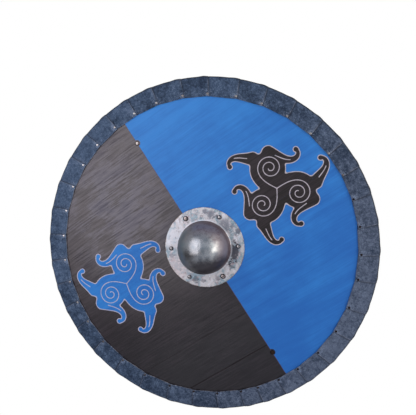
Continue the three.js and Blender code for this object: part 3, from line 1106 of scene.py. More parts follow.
def stations(span):
    """Distances from the strip's own nail, close together where it climbs and at its ends."""
    start = [-OVERHANG, -OVERHANG + END_EASE] + [place * MM for place in NEAR_NAIL] + [CLIMB_TOP]
    start += [CLIMB_TOP + CLIMB_RUN * share for share in CLIMB_SHARES]
    end = [span + place * MM for place in NEAR_NEXT_NAIL] + [span + TUCK - END_EASE, span + TUCK]
    left = end[0] - start[-1]
    count = max(2, round(left / SECTION_SPACING))
    return start + [start[-1] + left * i / count for i in range(1, count)] + end


def strip_level(along, span):
    """Height of the inward skin, and the thickness: thinned where it is tucked and at its top end."""
    level = LIFT * (1 - eased(along, CLIMB_TOP, CLIMB_TOP + CLIMB_RUN))
    thick = LEATHER - TOP_THINNED * (1 - eased(along, -OVERHANG, CLIMB_TOP))
    tucked = span - OVERHANG
    thick -= (LEATHER - SKIVED) * eased(along, tucked - END_EASE, tucked + SKIVE_RUN)
    if along <= -OVERHANG or along >= span + TUCK:
        level += thick * END_LIFT_SHARE
        thick *= END_THICK_SHARE
    return level, thick


# %% Round the nails
SCUFF_REACH = 9 * MM
NAIL_DIMPLE, DIMPLE_RADIUS = 0.45 * MM, 5.5 * MM


def away_from(point, tip):
    return math.hypot(point.x - tip.x, point.z - tip.z)


def nail_scuff(point, index):
    """1 beside the nails at both ends of a strip, 0 away from them."""
    away = min(away_from(point, tip) for tip in (nail_tips[index], nail_tips[(index + 1) % RIM_PIECES]))
    return math.exp(-(away / SCUFF_REACH) ** 2)


def press_round_nail(points, tip):
    """The head pulls the leather in a little all round itself."""
    for point in points:
        away = away_from(point, tip)
        if away < DIMPLE_RADIUS and point.y < board_front - LIFT - GAP:
            point.y += NAIL_DIMPLE * eased(DIMPLE_RADIUS - away, 0.0, DIMPLE_RADIUS)


# %% Close the ends of a strip
def end_faces(first, count, flip):
    """Faces between the outward and the inward skin that close a strip at one end."""
    legs = (count - 4) // 2
    quads = [(i, i + 1, 2 * legs - i, 2 * legs + 1 - i) for i in range(legs - 1)]
    quads += [(legs - 1, legs, legs + 1, legs + 2), (count - 2, count - 1, 0, count - 3)]
    faces = [tuple(first + corner for corner in quad) for quad in quads]
    return [face[::-1] for face in faces] if flip else faces


# %% Build the strips
FRONT_REACH, BACK_REACH = 39.2 * MM, 35.0 * MM
FRONT_RAGGED, FRONT_SCALE = 0.5 * MM, 55
RAGGED_AT_CUT, RAGGED_BEYOND = 1.0, 0.3
# What each strip's front leg lacks of the full reach, in millimetres: they were cut by eye.
REACH_LOSS = (2.6, 2.6, 2.2, 1.0, 0.3, 0.4, 0.4, -0.2, -0.9, -1.5, -1.2, -0.3, 0.2, 0.0, -0.4, -0.8, -1.0,
              -0.7, -0.1, 0.6, 1.4, 1.9, 2.0, 2.4, 2.6, 2.6, 2.6, 2.6, 2.6, 2.0, 0.8, -0.3, -0.9, -0.2,
              1.8, 2.6, 2.6)
# The diagonal toward whose ends the strips are lighter.
LIGHTER_DIAGONAL = math.radians(120)
SCUFF_RUN, SCUFF_SHARE, SHADE_RUN = 1.5 * MM, 0.35, 2.2 * MM
# How far apart two strips are in the patterns that make them uneven.
FRONT_SEED, SECTION_SEED, TONE_SEED = 3.1, 7.7, 1.33
TONE_ROW, TONE_BY_SIDE, TONE_BY_CHANCE = 19.2, 0.2, 0.25


def build_strip(index, finish):
    lap, following = lap_angles[index], lap_angles[index + 1]
    middle, half = (lap + following) / 2, (following - lap) / 2
    span = (following - lap) * board_radius
    sections, lifts, shades = [], [], []
    for along in stations(span):
        angle = lap + along / board_radius
        straight = math.cos(half) / math.cos(angle - middle)
        ragged = FRONT_RAGGED * wobble(angle * FRONT_SCALE, index * FRONT_SEED)
        front_end = (board_radius - FRONT_REACH) * straight + REACH_LOSS[index] * MM
        path = strip_path(front_end + ragged, (board_radius - BACK_REACH) * straight, angle)
        level, thick = strip_level(along, span)
        cut_share = RAGGED_AT_CUT if along < 0 else RAGGED_BEYOND
        sections.append(strip_section(path, level, thick, angle, index * SECTION_SEED, cut_share))
        lifts.append(math.exp(-max(0.0, along + OVERHANG) / SCUFF_RUN))
        shades.append(math.exp(-max(0.0, span - OVERHANG - along) / SHADE_RUN))
    points, faces = hooped([[point for point, worn_and_lit, folded in section] for section in sections], caps=False)
    count = len(sections[0])
    faces += end_faces(0, count, True) + end_faces(len(points) - count, count, False)
    press_round_nail(points, nail_tips[index])
    number = f"{index + 1:02d}"
    strip = new_piece(f"rim_leather_{number}", points, faces, finish, "rim_leather",
                      [f"rim_piece_{number}"], smooth=50)
    # Paler at the cut edges and along the lap: partly wear, partly painted highlight.
    mark(strip, "worn_and_lit", [max(worn_and_lit, SCUFF_SHARE * lift) for section, lift in zip(sections, lifts)
                         for point, worn_and_lit, folded in section])
    mark(strip, "folded", [folded for section in sections for point, worn_and_lit, folded in section])
    mark(strip, "shaded", np.repeat(shades, count))
    mark(strip, "scuffed", [nail_scuff(point, index) for point in points])
    # Strips are lighter toward both ends of this diagonal, and vary by chance.
    tone = 0.5 + TONE_BY_SIDE * math.cos(2 * (middle - LIGHTER_DIAGONAL))
    tone += TONE_BY_CHANCE * wobble(index * TONE_SEED, TONE_ROW)
    mark(strip, "tone", np.full(len(points), tone))
    return strip


# %% [markdown]
# The strips are waxed slate-blue leather that has been scuffed: a cloudy ground, dark pores,
# pale rubbed flecks, and paler cut edges, partly wear and partly painted highlight. Three
# patterns of different size make the clouds, the mottling and the pores, and all three also
# decide where the surface stands proud enough to be rubbed. Each strip has its own number,
# `tone`, so that no two strips match; it is higher, and the strip lighter, toward both ends
# of one diagonal. The lower right of the rim is painted greyer and lighter, as painted
# sheen. Where a strip goes round the fold or under the next one it is in its own shade.

# %% Leather finish
LEATHER_DEEP = srgb(35, 49, 71)
LEATHER_MID = srgb(73, 93, 122)
LEATHER_PALE = srgb(115, 130, 157)
LEATHER_CUT = srgb(140, 136, 142)
# The next colour is painted sheen, for the lower right of the rim.
LEATHER_SHEEN = srgb(89, 99, 121)
LEATHER_SHADE = srgb(24, 30, 42)
# The side and the range of that painted sheen.
LEATHER_SHEEN_SIDE, LEATHER_SHEEN_RANGE = (0.5, -0.86), (-100 * MM, 300 * MM)
CLOUDS_DEEP, MOTTLE_DEEP, GRAIN_DEEP = 2.8 * MM, 0.9 * MM, 0.28 * MM


def leather_finish():
    finish = Finish("waxed_leather")
    place = finish.place()
    x, y, z = split(place)
    tone, scuffed, worn_and_lit, folded, shaded = (
        finish.attribute(name) for name in ("tone", "scuffed", "worn_and_lit", "folded", "shaded"))
    clouds = pattern(place, 44.0, 5.0, 0.66, tone * 9.0)
    mottle = pattern(place, 170.0, 4.0, 0.75, tone * 5.0)
    pores = pattern(place, 520.0, 3.0, 0.6)
    # Painted sheen: greyer and lighter toward the lower right.
    leather_sheen = rise(x * LEATHER_SHEEN_SIDE[0] + z * LEATHER_SHEEN_SIDE[1], *LEATHER_SHEEN_RANGE)
    depth = rise(clouds * 0.38 + mottle * 0.42 + pores * 0.2 + (tone - 0.5) * 0.16, 0.38, 0.59)
    colour = mix(depth, LEATHER_DEEP, mix(leather_sheen * 0.8, LEATHER_MID, LEATHER_SHEEN))
    rubbing = mottle * 0.35 + pores * 0.46 + clouds * 0.24 + scuffed * 0.12 + (tone - 0.5) * 0.06
    rubbed = rise(rubbing, 0.55, 0.69)
    colour = mix(rubbed * 0.8, colour, LEATHER_PALE)
    # Paler cut edges: partly wear, partly painted highlight.
    colour = mix(worn_and_lit * rise(clouds + mottle * 0.6, 0.62, 0.95) * 0.85, colour, LEATHER_CUT)
    colour = mix(shaded * 0.9, colour, LEATHER_SHADE)
    colour = mix(rise(folded, 0.1, 0.8) * 0.85, colour, LEATHER_SHADE)
    relief = bump(clouds, CLOUDS_DEEP, 0.3)
    relief = bump(mottle, MOTTLE_DEEP, 0.5, relief)
    creases = cells(place, 300.0, "DISTANCE_TO_EDGE")
    relief = bump(rise(creases, 0.0, 0.14) * 0.5 + pores * 0.5, GRAIN_DEEP, 0.5, relief)
    return finish.surface(Base_Color=colour, Roughness=0.78 - depth * 0.06 - rubbed * 0.06,
                          Normal=relief, Specular_IOR_Level=0.2)


leather = leather_finish()
print("finish of the leather:", len(leather.node_tree.nodes), "nodes")
strips = [build_strip(i, leather) for i in range(RIM_PIECES)]
print("strips:", len(strips), "with", sum(len(s.data.polygons) for s in strips), "faces")

# %% [markdown]
# ## Steel
#
# The boss is pressed from sheet and was then aged: the flange is rubbed back to pale metal,
# with blue, rosy and dark stains left in it and a rusty edge. Bright marks where the flange
# faces the lamps and a pale ring round the foot of the dome are painted highlight, and a
# dark spot round each rivet, shifted to its right, is painted shadow. The dome keeps a
# darker skin, brown at its foot; its lower left is painted darkest, as painted reflection of
# the dark floor, and its left side darker, as painted shade that dims the left highlight.
# One finish does it all, because it can ask how far from the axis a place is. The large
# stains and marks are placed one by one, and frayed by the same patterns that make the
# small ones.

# %% Stains of the flange
STEEL_BRIGHT = srgb(222, 227, 239)
STEEL_PALE = srgb(206, 205, 212)
STEEL_WARM = srgb(232, 216, 219)
STEEL_BLUE = srgb(148, 172, 188)
STEEL_ROSE = srgb(198, 170, 174)
STEEL_SLATE = srgb(112, 118, 134)
STEEL_DARK = srgb(62, 64, 78)
STEEL_BROWN = srgb(132, 104, 84)
flange_radius = size_of("boss").x / 2
dome_radius, foot_fillet = 59.5 * MM, 3.5 * MM
# Marks on the flange: place and radius in millimetres, colour, strength. The bright and
# warm ones, on the flange's left and right, are painted highlight where it faces the lamps;
# the slate and dark ones are stains.
FLANGE_MARKS = (
    ((-52, 58), 36, STEEL_BRIGHT, 0.6), ((-78, -4), 42, STEEL_WARM, 0.45),
    ((77, -22), 13, STEEL_BRIGHT, 0.6), ((68, 16), 24, STEEL_SLATE, 0.8),
    ((85, -10), 11, STEEL_SLATE, 0.9), ((64, 43), 6, STEEL_DARK, 0.8),
    ((46, 66), 10, STEEL_SLATE, 0.8), ((-75, 24), 8, STEEL_SLATE, 0.6),
    ((55, 53), 15, STEEL_SLATE, 0.8), ((-57, -50), 11, STEEL_DARK, 0.6),
    ((-44, -63), 9, STEEL_DARK, 0.5), ((-12, -75), 7, STEEL_DARK, 0.5),
    ((29, -70), 7, STEEL_DARK, 0.6),
)
FRAY_ACROSS, FRAY_UP, FRAY_OUT = 22 * MM, 30 * MM, 20 * MM


def stained_steel(place, x, z, patches, tints):
    """Pale steel with a blue and a rosy tint, bright where rubbed, and the marks on it."""
    clouds = pattern(place + (0.3, 0.1, 0.7), 60.0, 3.0, 0.6)
    colour = mix(rise(clouds * 0.6 + tints * 0.4, 0.46, 0.56), STEEL_PALE, STEEL_BLUE)
    colour = mix(rise(patches * 0.6 + tints * 0.4, 0.5, 0.6) * 0.7, colour, STEEL_ROSE)
    rubbed = rise(patches * 0.5 + (1 - clouds) * 0.5, 0.53, 0.6)
    colour = mix(rubbed * 0.7, colour, STEEL_BRIGHT)
    for (across, height), radius, shade, strength in FLANGE_MARKS:
        marked = spot(x, z, (across * MM, height * MM), radius * MM)
        broken = marked * rise(patches * 0.35 + tints * 0.65 + marked * 0.22, 0.52, 0.66)
        colour = mix(broken * strength, colour, shade)
    return colour


# %% Crescent, grime, painted rivet shadows, painted highlight ring and rusty edge of the flange
CRESCENT_WAY = (0.74, -0.67)
CRESCENT_REACH, CRESCENT_SWELL, CRESCENT_EDGE = 67 * MM, 14 * MM, 5 * MM
# Reach and shift to the right of the painted shadow round each rivet.
RIVET_SHADOW_REACH, RIVET_SHADOW_DRIFT = 6.5 * MM, 1.2 * MM
EDGE_BAND = 1.4 * MM
flange_rivets = [middle_of(f"boss_rivet_{i}") for i in range(1, 5)]
flange_rivets += [middle_of(f"grip_rivet_{i}") for i in (1, 2)]


def flange_colour(place, x, z, out, patches, specks):
    tints = pattern(place + (0.8, 0.4, 0.2), 150.0, 4.0, 0.7)
    frayed_x, frayed_z = x + (patches - 0.5) * FRAY_ACROSS, z + (tints - 0.5) * FRAY_UP
    colour = stained_steel(place, frayed_x, frayed_z, patches, tints)
    toward = (frayed_x * CRESCENT_WAY[0] + frayed_z * CRESCENT_WAY[1]) / out
    horns = rise(toward, 0.92, 0.97)
    frayed_out = out + (tints - 0.5) * FRAY_OUT - horns * CRESCENT_SWELL
    crescent = horns * (1 - rise(frayed_out, CRESCENT_REACH - CRESCENT_EDGE, CRESCENT_REACH))
    colour = mix(crescent * 0.9, colour, STEEL_DARK)
    grime_and_shadow = rise(specks * 0.35 + tints * 0.65, 0.53, 0.66) * 0.5
    # Painted shadow: a dark spot round each rivet, shifted to its right, on its shaded side, over the grime
    # flecks.
    for across, height in flange_rivets:
        beside = (across + RIVET_SHADOW_DRIFT * view_right.x, height + RIVET_SHADOW_DRIFT * view_right.z)
        grime_and_shadow = grime_and_shadow.larger(spot(x, z, beside, RIVET_SHADOW_REACH, 0.5) * 0.75)
    colour = mix(grime_and_shadow, colour, STEEL_DARK)
    # Painted highlight: a pale ring on the fillet round the foot of the dome.
    foot = dome_radius + foot_fillet
    ring = rise(out, dome_radius + MM, dome_radius + 2 * MM) * (1 - rise(out, foot, foot + 2 * MM))
    colour = mix(ring * 0.45, colour, STEEL_BRIGHT)
    rusty = rise(out, flange_radius - 1.5 * EDGE_BAND, flange_radius - 0.5 * EDGE_BAND)
    return mix(rusty * rise(tints, 0.35, 0.6) * 0.8, colour, STEEL_BROWN), grime_and_shadow


# %% Skin of the dome
DOME_MID = srgb(170, 174, 181)
DOME_DEEP = srgb(140, 148, 158)
DOME_EDGE = srgb(122, 114, 122)
# Painted shade for the dome's left side, which dims the left highlight.
DOME_LEFT_SHADE = srgb(138, 139, 142)
DOME_TEAL = srgb(108, 124, 132)
# Painted dark reflection of the floor, on the dome's lower left.
DOME_PAINTED_DARK = srgb(46, 42, 49)
DOME_BROWN = srgb(84, 62, 70)
DOME_FRAY, EDGE_FRAY, PAINTED_DARK_FRAY = 30 * MM, 12 * MM, 18 * MM
PAINTED_DARK_WAY, PAINTED_DARK_RANGE = (-0.5, -0.87), (4 * MM, 28 * MM)
HIGH_RANGE = (18 * MM, 40 * MM)
LEFT_SHADE_RANGE, TEAL_RANGE = (-30 * MM, -2 * MM), (-42 * MM, -26 * MM)
FOOT_BAND = (4 * MM, 0.5 * MM)


def dome_colour(x, z, out, patches, specks):
    colour = mix(rise(patches * 0.7 + specks * 0.3, 0.42, 0.6), DOME_MID, DOME_DEEP)
    edge = rise(out + (patches - 0.5) * EDGE_FRAY, dome_radius * 0.5, dome_radius * 0.82)
    colour = mix(edge * 0.9, colour, DOME_EDGE)
    fray = (patches - 0.5) * DOME_FRAY
    upward = x * view_up.x + z * view_up.z + fray
    high = edge * rise(upward, *HIGH_RANGE) * rise(specks * 0.5 + patches * 0.5, 0.5, 0.6)
    colour = mix(high * 0.8, colour, DOME_BROWN)
    # Painted dark reflection: the lower left of the dome is painted dark, as the dark floor would be seen
    # in it.
    low = rise(x * PAINTED_DARK_WAY[0] + z * PAINTED_DARK_WAY[1] + (patches - 0.5) * PAINTED_DARK_FRAY, *PAINTED_DARK_RANGE)
    colour = mix(low * 0.92, colour, DOME_PAINTED_DARK)
    sideways = x * view_right.x + z * view_right.z + fray
    # Painted shade: the dome's left side is painted darker, which dims the left highlight.
    colour = mix(0.75 - rise(sideways, *LEFT_SHADE_RANGE) * 0.75, colour, DOME_LEFT_SHADE)
    colour = mix(0.7 - rise(sideways, *TEAL_RANGE) * 0.7, colour, DOME_TEAL)
    foot = rise(out, dome_radius - FOOT_BAND[0], dome_radius - FOOT_BAND[1])
    return mix(foot * 0.7, colour, DOME_BROWN), edge.larger(low * 0.7)


# %% Finish of the whole boss
HAMMER_DEEP, PITS_DEEP = 1.2 * MM, 0.6 * MM
FLANGE_START = 0.4 * MM


def boss_finish():
    finish = Finish("aged_steel")
    place = finish.place()
    x, y, z = split(place)
    out = diagonal(x, z)
    patches = pattern(place, 85.0, 5.0, 0.65)
    specks = pattern(place, 420.0, 4.0, 0.7)
    flange, grime_and_shadow = flange_colour(place, x, z, out, patches, specks)
    dome, skin = dome_colour(x, z, out, patches, specks)
    on_flange = rise(out, dome_radius + FLANGE_START, dome_radius + 0.6 * foot_fillet)
    hammer = bump(cells(place, 85.0, "SMOOTH_F1"), HAMMER_DEEP, 0.2)
    pits = (specks * 0.5 + patches * 0.5) * between(on_flange, 0.3, 0.6)
    return finish.surface(
        Base_Color=mix(on_flange, dome, flange), Normal=bump(pits, PITS_DEEP, 0.5, hammer),
        Roughness=between(on_flange, 0.22 + patches * 0.12 + skin * 0.2, 0.4 + grime_and_shadow * 0.25),
        Metallic=between(on_flange, 0.95 - skin * 0.4, 0.6))


# %% [markdown]
# The boss itself is one outline, down the outside of the dome, out along the flange, round
# its edge and back up the inside. Spun, it is a closed sheet of even thickness. A hammer has
# left shallow dents in it, and its edge was cut with shears, so it isn't quite round.

# %% Outline of the boss
BOSS_SHEET = 1.8 * MM
WALL_HEIGHT = 6.5 * MM
EDGE_ROUND = 0.5 * MM
EDGE_BENDS = (0.5, 1.0, math.pi / 2)
DOME_STEPS, FILLET_STEPS, FLANGE_STEPS = 34, 8, 10
flange_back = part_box("boss")[1].y
flange_front = flange_back - BOSS_SHEET


def boss_skin(inward):
    """Outline of one skin, from the top of the dome to the flange's edge."""
    face = flange_front + inward
    wall = dome_radius - inward
    fillet = foot_fillet + inward
    outline = domed(wall, flange_front - WALL_HEIGHT - wall, wall, DOME_STEPS)
    outline += [(wall + fillet - fillet * math.cos(bend), face - fillet + fillet * math.sin(bend))
                for bend in quarter(FILLET_STEPS)]
    reach = flange_radius - EDGE_ROUND - wall - fillet
    return outline + [(wall + fillet + reach * i / FLANGE_STEPS, face) for i in range(1, FLANGE_STEPS + 1)]


def boss_outline():
    middle = (flange_front + flange_back) / 2
    edge = [(flange_radius - EDGE_ROUND * (1 - math.sin(bend)),
             middle - (BOSS_SHEET / 2 - EDGE_ROUND) * side - EDGE_ROUND * math.cos(bend) * side)
            for side, bends in ((1, EDGE_BENDS), (-1, EDGE_BENDS[::-1])) for bend in bends]
    return boss_skin(0) + edge + boss_skin(BOSS_SHEET)[::-1]


# %% The boss
BOSS_SIDES = 160
DENT, DENT_FLANGE_SHARE = 0.3 * MM, 0.45
DENT_SCALE, FINE_DENT_SCALE, FINE_DENT_ROW = 70, 180, 3
SHEAR_WAVER, SHEAR_SCALE, SHEAR_ROW = 0.5 * MM, 30, 9
NEAR = 0.1 * MM
DENTS_END = 4 * MM


def build_boss():
    points, faces = spun(boss_outline(), BOSS_SIDES)
    for point in points:
        out = math.hypot(point.x, point.z)
        coarse = wobble(point.x * DENT_SCALE, point.z * DENT_SCALE, point.y * DENT_SCALE)
        fine = wobble(point.x * FINE_DENT_SCALE, point.z * FINE_DENT_SCALE, FINE_DENT_ROW)
        push = DENT * (coarse + 0.5 * fine)
        if out < dome_radius + NEAR and point.y < flange_front - DENTS_END:
            way = Vector((point.x, point.y - (flange_front - WALL_HEIGHT), point.z)).normalized()
            point -= way * abs(push)
        elif point.y < flange_front + NEAR and out > dome_radius + foot_fillet:
            point.y += DENT_FLANGE_SHARE * abs(push)
        if out > flange_radius - 2 * EDGE_ROUND:
            sheared = 0.5 + 0.5 * wobble(point.x * SHEAR_SCALE, point.z * SHEAR_SCALE, SHEAR_ROW)
            shrink = 1 - SHEAR_WAVER * sheared / out
            point.x *= shrink
            point.z *= shrink
    return new_piece("boss_shell", points, faces, boss_finish(), "boss_steel", ["boss"])


boss_shell = build_boss()
print("boss:", len(boss_shell.data.polygons), "faces, flange radius", round(flange_radius / MM, 1), "mm")

# %% [markdown]
# ## Rivets, washers and nails
#
# Round-headed rivets are hammered shut over a washer, or on the bar itself. A hand hammer
# leaves them a little uneven, so each head gets a few dents of its own. The rim nails are
# small, and all of them make one object: thirty-seven tiny objects would only slow things.
# Some nails are painted bright and others black, as painted highlight where the nails glint,
# so each corner of that object stores how brightly its own nail is painted.

# %% Steel of the small pieces
SMALL_SPOTS, SMALL_PITS = 420.0, 0.3 * MM
NAIL_BLACKS = (srgb(52, 46, 50), srgb(34, 30, 34))
# Colours of the painted highlight on the nails.
NAIL_GLINT_COLOURS = (srgb(250, 248, 250), srgb(206, 200, 204))


def rivet_finish(name, pale, dark, rough, crowned=True):
    """Steel that is spotted, and on a rivet also painted dark at the foot as painted shade, and paler on
    the rubbed crown.
    """
    finish = Finish(name)
    patches = pattern(finish.place(), SMALL_SPOTS, 4.0, 0.6)
    spotted = rise(patches, 0.4, 0.65)
    if crowned:
        # Painted shade: dark round the foot of the head, where it meets the part below.
        foot = rise(finish.attribute("off_crown") + (patches - 0.5) * 0.4, 0.5, 0.85)
        spotted = (spotted * 0.5).larger(foot)
    return finish.surface(Base_Color=mix(spotted, pale, dark), Metallic=1.0,
                          Roughness=rough + (patches - 0.5) * 0.25, Normal=bump(patches, SMALL_PITS, 0.5))


def nail_finish():
    """Blackened steel, painted bright by a share of its own on each nail, as painted highlight where it
    glints.
    """
    finish = Finish("nail_steel")
    # The stored share is painted highlight: how brightly each nail is painted.
    rubbed = finish.attribute("rubbed")
    spotted = rise(pattern(finish.place(), SMALL_SPOTS, 4.0, 0.6), 0.4, 0.65)
    pale, dark = (mix(rubbed, black, bright) for black, bright in zip(NAIL_BLACKS, NAIL_GLINT_COLOURS))
    return finish.surface(Base_Color=mix(spotted, pale, dark), Metallic=1.0,
                          Roughness=between(rubbed, 0.5, 0.2))


small_steel = rivet_finish("rivet_steel", srgb(138, 138, 144), srgb(78, 76, 82), 0.3, crowned=False)
head_steel = rivet_finish("rubbed_rivet_steel", srgb(176, 174, 178), srgb(44, 42, 48), 0.26)
brown_steel = rivet_finish("browned_steel", srgb(172, 162, 162), srgb(44, 36, 40), 0.26)
painted_steel = rivet_finish("painted_over_steel", srgb(196, 188, 186), srgb(88, 76, 80), 0.28)
rusty_steel = rivet_finish("rusty_rivet_steel", srgb(66, 52, 46), srgb(32, 25, 25), 0.5)
nail_steel = nail_finish()

# %% Rivets and washers
HEAD_SHARE, FOOT_SHARE = 0.42, 0.97
HEAD_DENT_SHARE, HEAD_DENT_SCALE = 0.035, 260
TAIL_RADIUS, TAIL_HEIGHT, SHANK_RADIUS = 4 * MM, 1.6 * MM, 2.4 * MM
# The hammered tail, as shares of its radius and of its height.
TAIL_SHARES = ((0.94, 0), (1, 0.3), (0.86, 0.75), (0.6, 1))
OFF_CROWN_BEHIND = 0.6
HEAD_STEPS, RIVET_SIDES = 8, 36
WASHER_PLAY, WASHER_EASE = 0.2 * MM, 0.25 * MM


def build_rivet(node, finish):
    low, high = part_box(node)
    x, z = middle_of(node)
    head = (high.z - low.z) / 2
    crown = head * HEAD_SHARE
    seat, peened = low.y + crown, high.y - TAIL_HEIGHT
    outline = domed(head, low.y, crown, HEAD_STEPS)
    outline += [(head * FOOT_SHARE, seat + NEAR), (SHANK_RADIUS, seat + NEAR), (SHANK_RADIUS, peened)]
    outline += [(TAIL_RADIUS * wide, peened + TAIL_HEIGHT * up) for wide, up in TAIL_SHARES]
    outline += [(0.0, high.y - NEAR)]
    points, faces = spun(outline, RIVET_SIDES, x, z)
    for point in points:
        if point.y < seat:
            point.y += abs(HEAD_DENT_SHARE * head * wobble(*(point * HEAD_DENT_SCALE)))
    rivet = new_piece(f"{node}_hammered", points, faces, finish, "rivet_steel", [node], smooth=35)
    mark(rivet, "off_crown", [math.hypot(point.x - x, point.z - z) / head
                              if point.y < seat else OFF_CROWN_BEHIND for point in points])
    return rivet


def build_washer(node):
    low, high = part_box(node)
    radius, bore, ease = (high.z - low.z) / 2, SHANK_RADIUS + WASHER_PLAY, WASHER_EASE
    outline = [(bore, low.y), (radius - ease, low.y), (radius, low.y + ease), (radius, high.y - ease),
               (radius - ease, high.y), (bore + ease, high.y), (bore, high.y - ease), (bore, low.y)]
    points, faces = spun(outline, RIVET_SIDES, *middle_of(node))
    return new_piece(f"{node}_washer", points, faces, small_steel, "rivet_steel", [node], smooth=35)


rivets = [build_rivet(f"boss_rivet_{i}", head_steel) for i in range(1, 5)]
rivets += [build_rivet(f"grip_rivet_{i}", steel)
           for i, steel in enumerate((brown_steel, brown_steel, painted_steel, rusty_steel), 1)]
washers = [build_washer(f"rove_{i}") for i in range(1, 5)]
print(len(rivets), "rivets and", len(washers), "washers")

# %% Nail heads
NAIL_HEAD, NAIL_HIGH, NAIL_SHANK = 2.6 * MM, 1.4 * MM, 1.1 * MM
NAIL_STEPS, NAIL_SIDES = 6, 20
rim_back = board_back + GAP + LIFT + LEATHER - TOP_THINNED / 2
nail_top = board_front - GAP - LIFT - LEATHER + TOP_THINNED / 2 - NAIL_HIGH


def nail_head(tip):
    outline = domed(NAIL_HEAD, nail_top, NAIL_HIGH, NAIL_STEPS)
    outline += [(NAIL_SHANK, nail_top + NAIL_HIGH + NEAR), (NAIL_SHANK, rim_back - LEATHER)]
    outline += [(0.0, rim_back - LEATHER)]
    return spun(outline, NAIL_SIDES, tip.x, tip.z)


def joined(parts):
    points, faces = [], []
    for part_points, part_faces in parts:
        base = len(points)
        points += part_points
        faces += [tuple(i + base for i in face) for face in part_faces]
    return points, faces


# %% How bright each nail is
# Where the nails are painted bright, as painted highlight.
GLINT_MIDDLE, GLINT_SPREAD = math.radians(118), math.radians(54)
GLINT_LEAST, GLINT_LEAST_RANGE = 0.36, (-0.2, 0.1)
GLINT_UNEVEN, GLINT_SCALE, GLINT_ROW = 0.5, 9, 2.7


def nail_glint(tip):
    """How bright a nail is painted, as painted highlight: most at the upper left, some on the upper half,
    none below.
    """
    angle = math.atan2(tip.z, tip.x)
    away = abs((angle - GLINT_MIDDLE + math.pi) % (2 * math.pi) - math.pi)
    uneven = 1 + GLINT_UNEVEN * wobble(angle * GLINT_SCALE, GLINT_ROW)
    share = math.exp(-(away / GLINT_SPREAD) ** 2) * uneven
    return min(1.0, max(share, GLINT_LEAST * eased(tip.z / board_radius, *GLINT_LEAST_RANGE)))


heads = [nail_head(tip) for tip in nail_tips]
nail_glints = [nail_glint(tip) for tip in nail_tips]
nails = new_piece("rim_nails", *joined(heads), nail_steel, "rivet_steel")
# Each nail's painted highlight, stored on its corners.
mark(nails, "rubbed", np.repeat(nail_glints, len(heads[0][0])))
print("nails:", len(heads), "rubbed by", [round(share, 2) for share in nail_glints])

# %% Bent nail tips behind
CLINCH_LENGTH, CLINCH_SIDES = 7 * MM, 8
CLINCH_START, CLINCH_THINNED = 0.6 * MM, 0.8
CLINCH_ASTRAY, CLINCH_SEED, CLINCH_ROW = 0.5, 2.3, 1.1
BEND_SHARE = 0.1
# Along the bent tip: share of its length, height over the leather in millimetres, share of its width.
CLINCH_SECTIONS = ((0, -0.4, 1), (0.06, 0.3, 1), (0.16, 0.75, 0.95), (0.5, 0.7, 0.8),
                   (0.85, 0.45, 0.45), (1, 0.3, 0.12))


def nail_clinch(tip, index):
    """The nail's point, bent outward and hammered down on the leather behind."""
    turn = math.atan2(tip.z, tip.x) + CLINCH_ASTRAY * wobble(index * CLINCH_SEED, CLINCH_ROW)
    way = Vector((math.cos(turn), 0, math.sin(turn)))
    side = Vector((-way.z, 0, way.x))
    back = Vector((0, 1, 0))
    start = Vector((tip.x, rim_back - CLINCH_START, tip.z))
    sections = []
    for share, lift, size in CLINCH_SECTIONS:
        middle = start + way * CLINCH_LENGTH * share + Vector((0, lift * MM, 0))
        upright = back if share > BEND_SHARE else (back * share / BEND_SHARE - way).normalized()
        turns = [2 * math.pi * i / CLINCH_SIDES for i in range(CLINCH_SIDES)]
        sections.append([middle + (side * math.cos(a) + upright * math.sin(a))
                         * NAIL_SHANK * size * CLINCH_THINNED for a in turns])
    return hooped(sections)


clinches = [nail_clinch(tip, i) for i, tip in enumerate(nail_tips)]
new_piece("rim_nail_tips", *joined(clinches), small_steel, "rivet_steel")
print("bent tips:", len(clinches))

# %% [markdown]
# ## The grip bar
#
# A shaved ash bar, flat against the board and rounded behind, full where the hand closes
# and tapered to both ends. Its sections come from one formula with the distance from the
# middle as its only input. The finish is the same grain turned upright, darker and smoother
# where hands have polished it.

# %% Bar sections
GRIP_WIDE, GRIP_DEEP = size_of("grip_bar").x, size_of("grip_bar").y
END_WIDE, END_DEEP = 24 * MM, 12 * MM
GRIP_HALF = hand_hole + 2 * MM
NOSE, NOSE_LEAST = 11 * MM, 0.02
SIDE_SHARE, FLAT_SHARE = 0.42, 0.34
GRIP_EASE, BAR_EASE, EASE_START = 6 * MM, 1 * MM, 8 * MM
BAR_STEPS, EASE_STEPS, TAPER_STEPS, GRIP_STEPS = 10, 4, 16, 10
NOSE_SHARES = (1, 0.97, 0.9, 0.78, 0.6, 0.4, 0.2, 0)
bar_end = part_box("grip_bar")[1].z
bar_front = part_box("grip_bar")[0].y


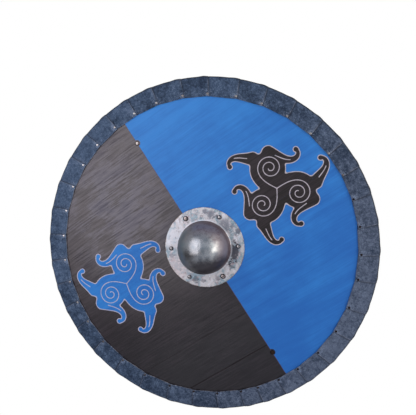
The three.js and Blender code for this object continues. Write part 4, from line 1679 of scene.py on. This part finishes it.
def bar_section(z):
    reach = abs(z)
    taper = max(0.0, (reach - GRIP_HALF) / (bar_end - GRIP_HALF))
    into_nose = max(0.0, (reach - bar_end + NOSE) / NOSE)
    nose = math.sqrt(max(NOSE_LEAST, 1 - into_nose ** 2))
    wide = (GRIP_WIDE + (END_WIDE - GRIP_WIDE) * taper) * nose
    deep = (GRIP_DEEP + (END_DEEP - GRIP_DEEP) * taper) * nose
    squared = eased(reach, hand_hole - EASE_START, GRIP_HALF)
    ease = (GRIP_EASE + (BAR_EASE - GRIP_EASE) * squared) * nose
    half, side, flat = wide / 2, deep * SIDE_SHARE, wide / 2 * FLAT_SHARE
    right = [(half - ease + ease * math.sin(bend), ease - ease * math.cos(bend))
             for bend in quarter(EASE_STEPS)]
    right += [(flat + (half - flat) * math.cos(bend), side + (deep - side) * math.sin(bend))
              for bend in quarter(BAR_STEPS)]
    left = [(-x, y) for x, y in reversed(right)]
    return [Vector((x, bar_front + y, z)) for x, y in right + left]


def bar_heights():
    run = bar_end - NOSE - GRIP_HALF
    upper = [bar_end - NOSE * (1 - share) for share in NOSE_SHARES]
    upper += [GRIP_HALF + run * i / TAPER_STEPS for i in range(TAPER_STEPS - 1, -1, -1)]
    upper += [GRIP_HALF * i / GRIP_STEPS for i in range(GRIP_STEPS - 1, -1, -1)]
    return [-z for z in upper[:-1]] + upper[::-1]


# %% The bar and its finish
ASH_LIGHT = srgb(146, 104, 66)
ASH_DARK = srgb(88, 58, 36)
ASH_HELD = srgb(74, 50, 34)
HELD_RANGE, HELD_FRAY = (40 * MM, 75 * MM), 30 * MM
ASH_DEEP = 0.4 * MM
ASH_NUMBER = 2.0


def bar_finish():
    finish = Finish("oiled_ash")
    place = finish.place()
    x, y, z = split(place)
    fine, broad, figure = wood_grain(place, x * 0.0 + ASH_NUMBER, "Z")
    tone = rise(fine * 0.55 + figure * 0.3 + broad * 0.3, 0.35, 0.85)
    held = 1 - rise(abs(z) + (broad - 0.5) * HELD_FRAY, *HELD_RANGE)
    colour = mix(held * 0.55, mix(tone, ASH_LIGHT, ASH_DARK), ASH_HELD)
    return finish.surface(Base_Color=colour, Roughness=0.6 - held * 0.22 + (fine - 0.5) * 0.2,
                          Normal=bump(fine, ASH_DEEP, 0.5), Specular_IOR_Level=0.45)


points, faces = hooped([bar_section(z) for z in bar_heights()])
bar = new_piece("grip_bar_shaved", points, faces, bar_finish(), "grip_wood", ["grip_bar"])
print("bar:", len(bar.data.polygons), "faces,", round(2 * bar_end / MM), "mm long")
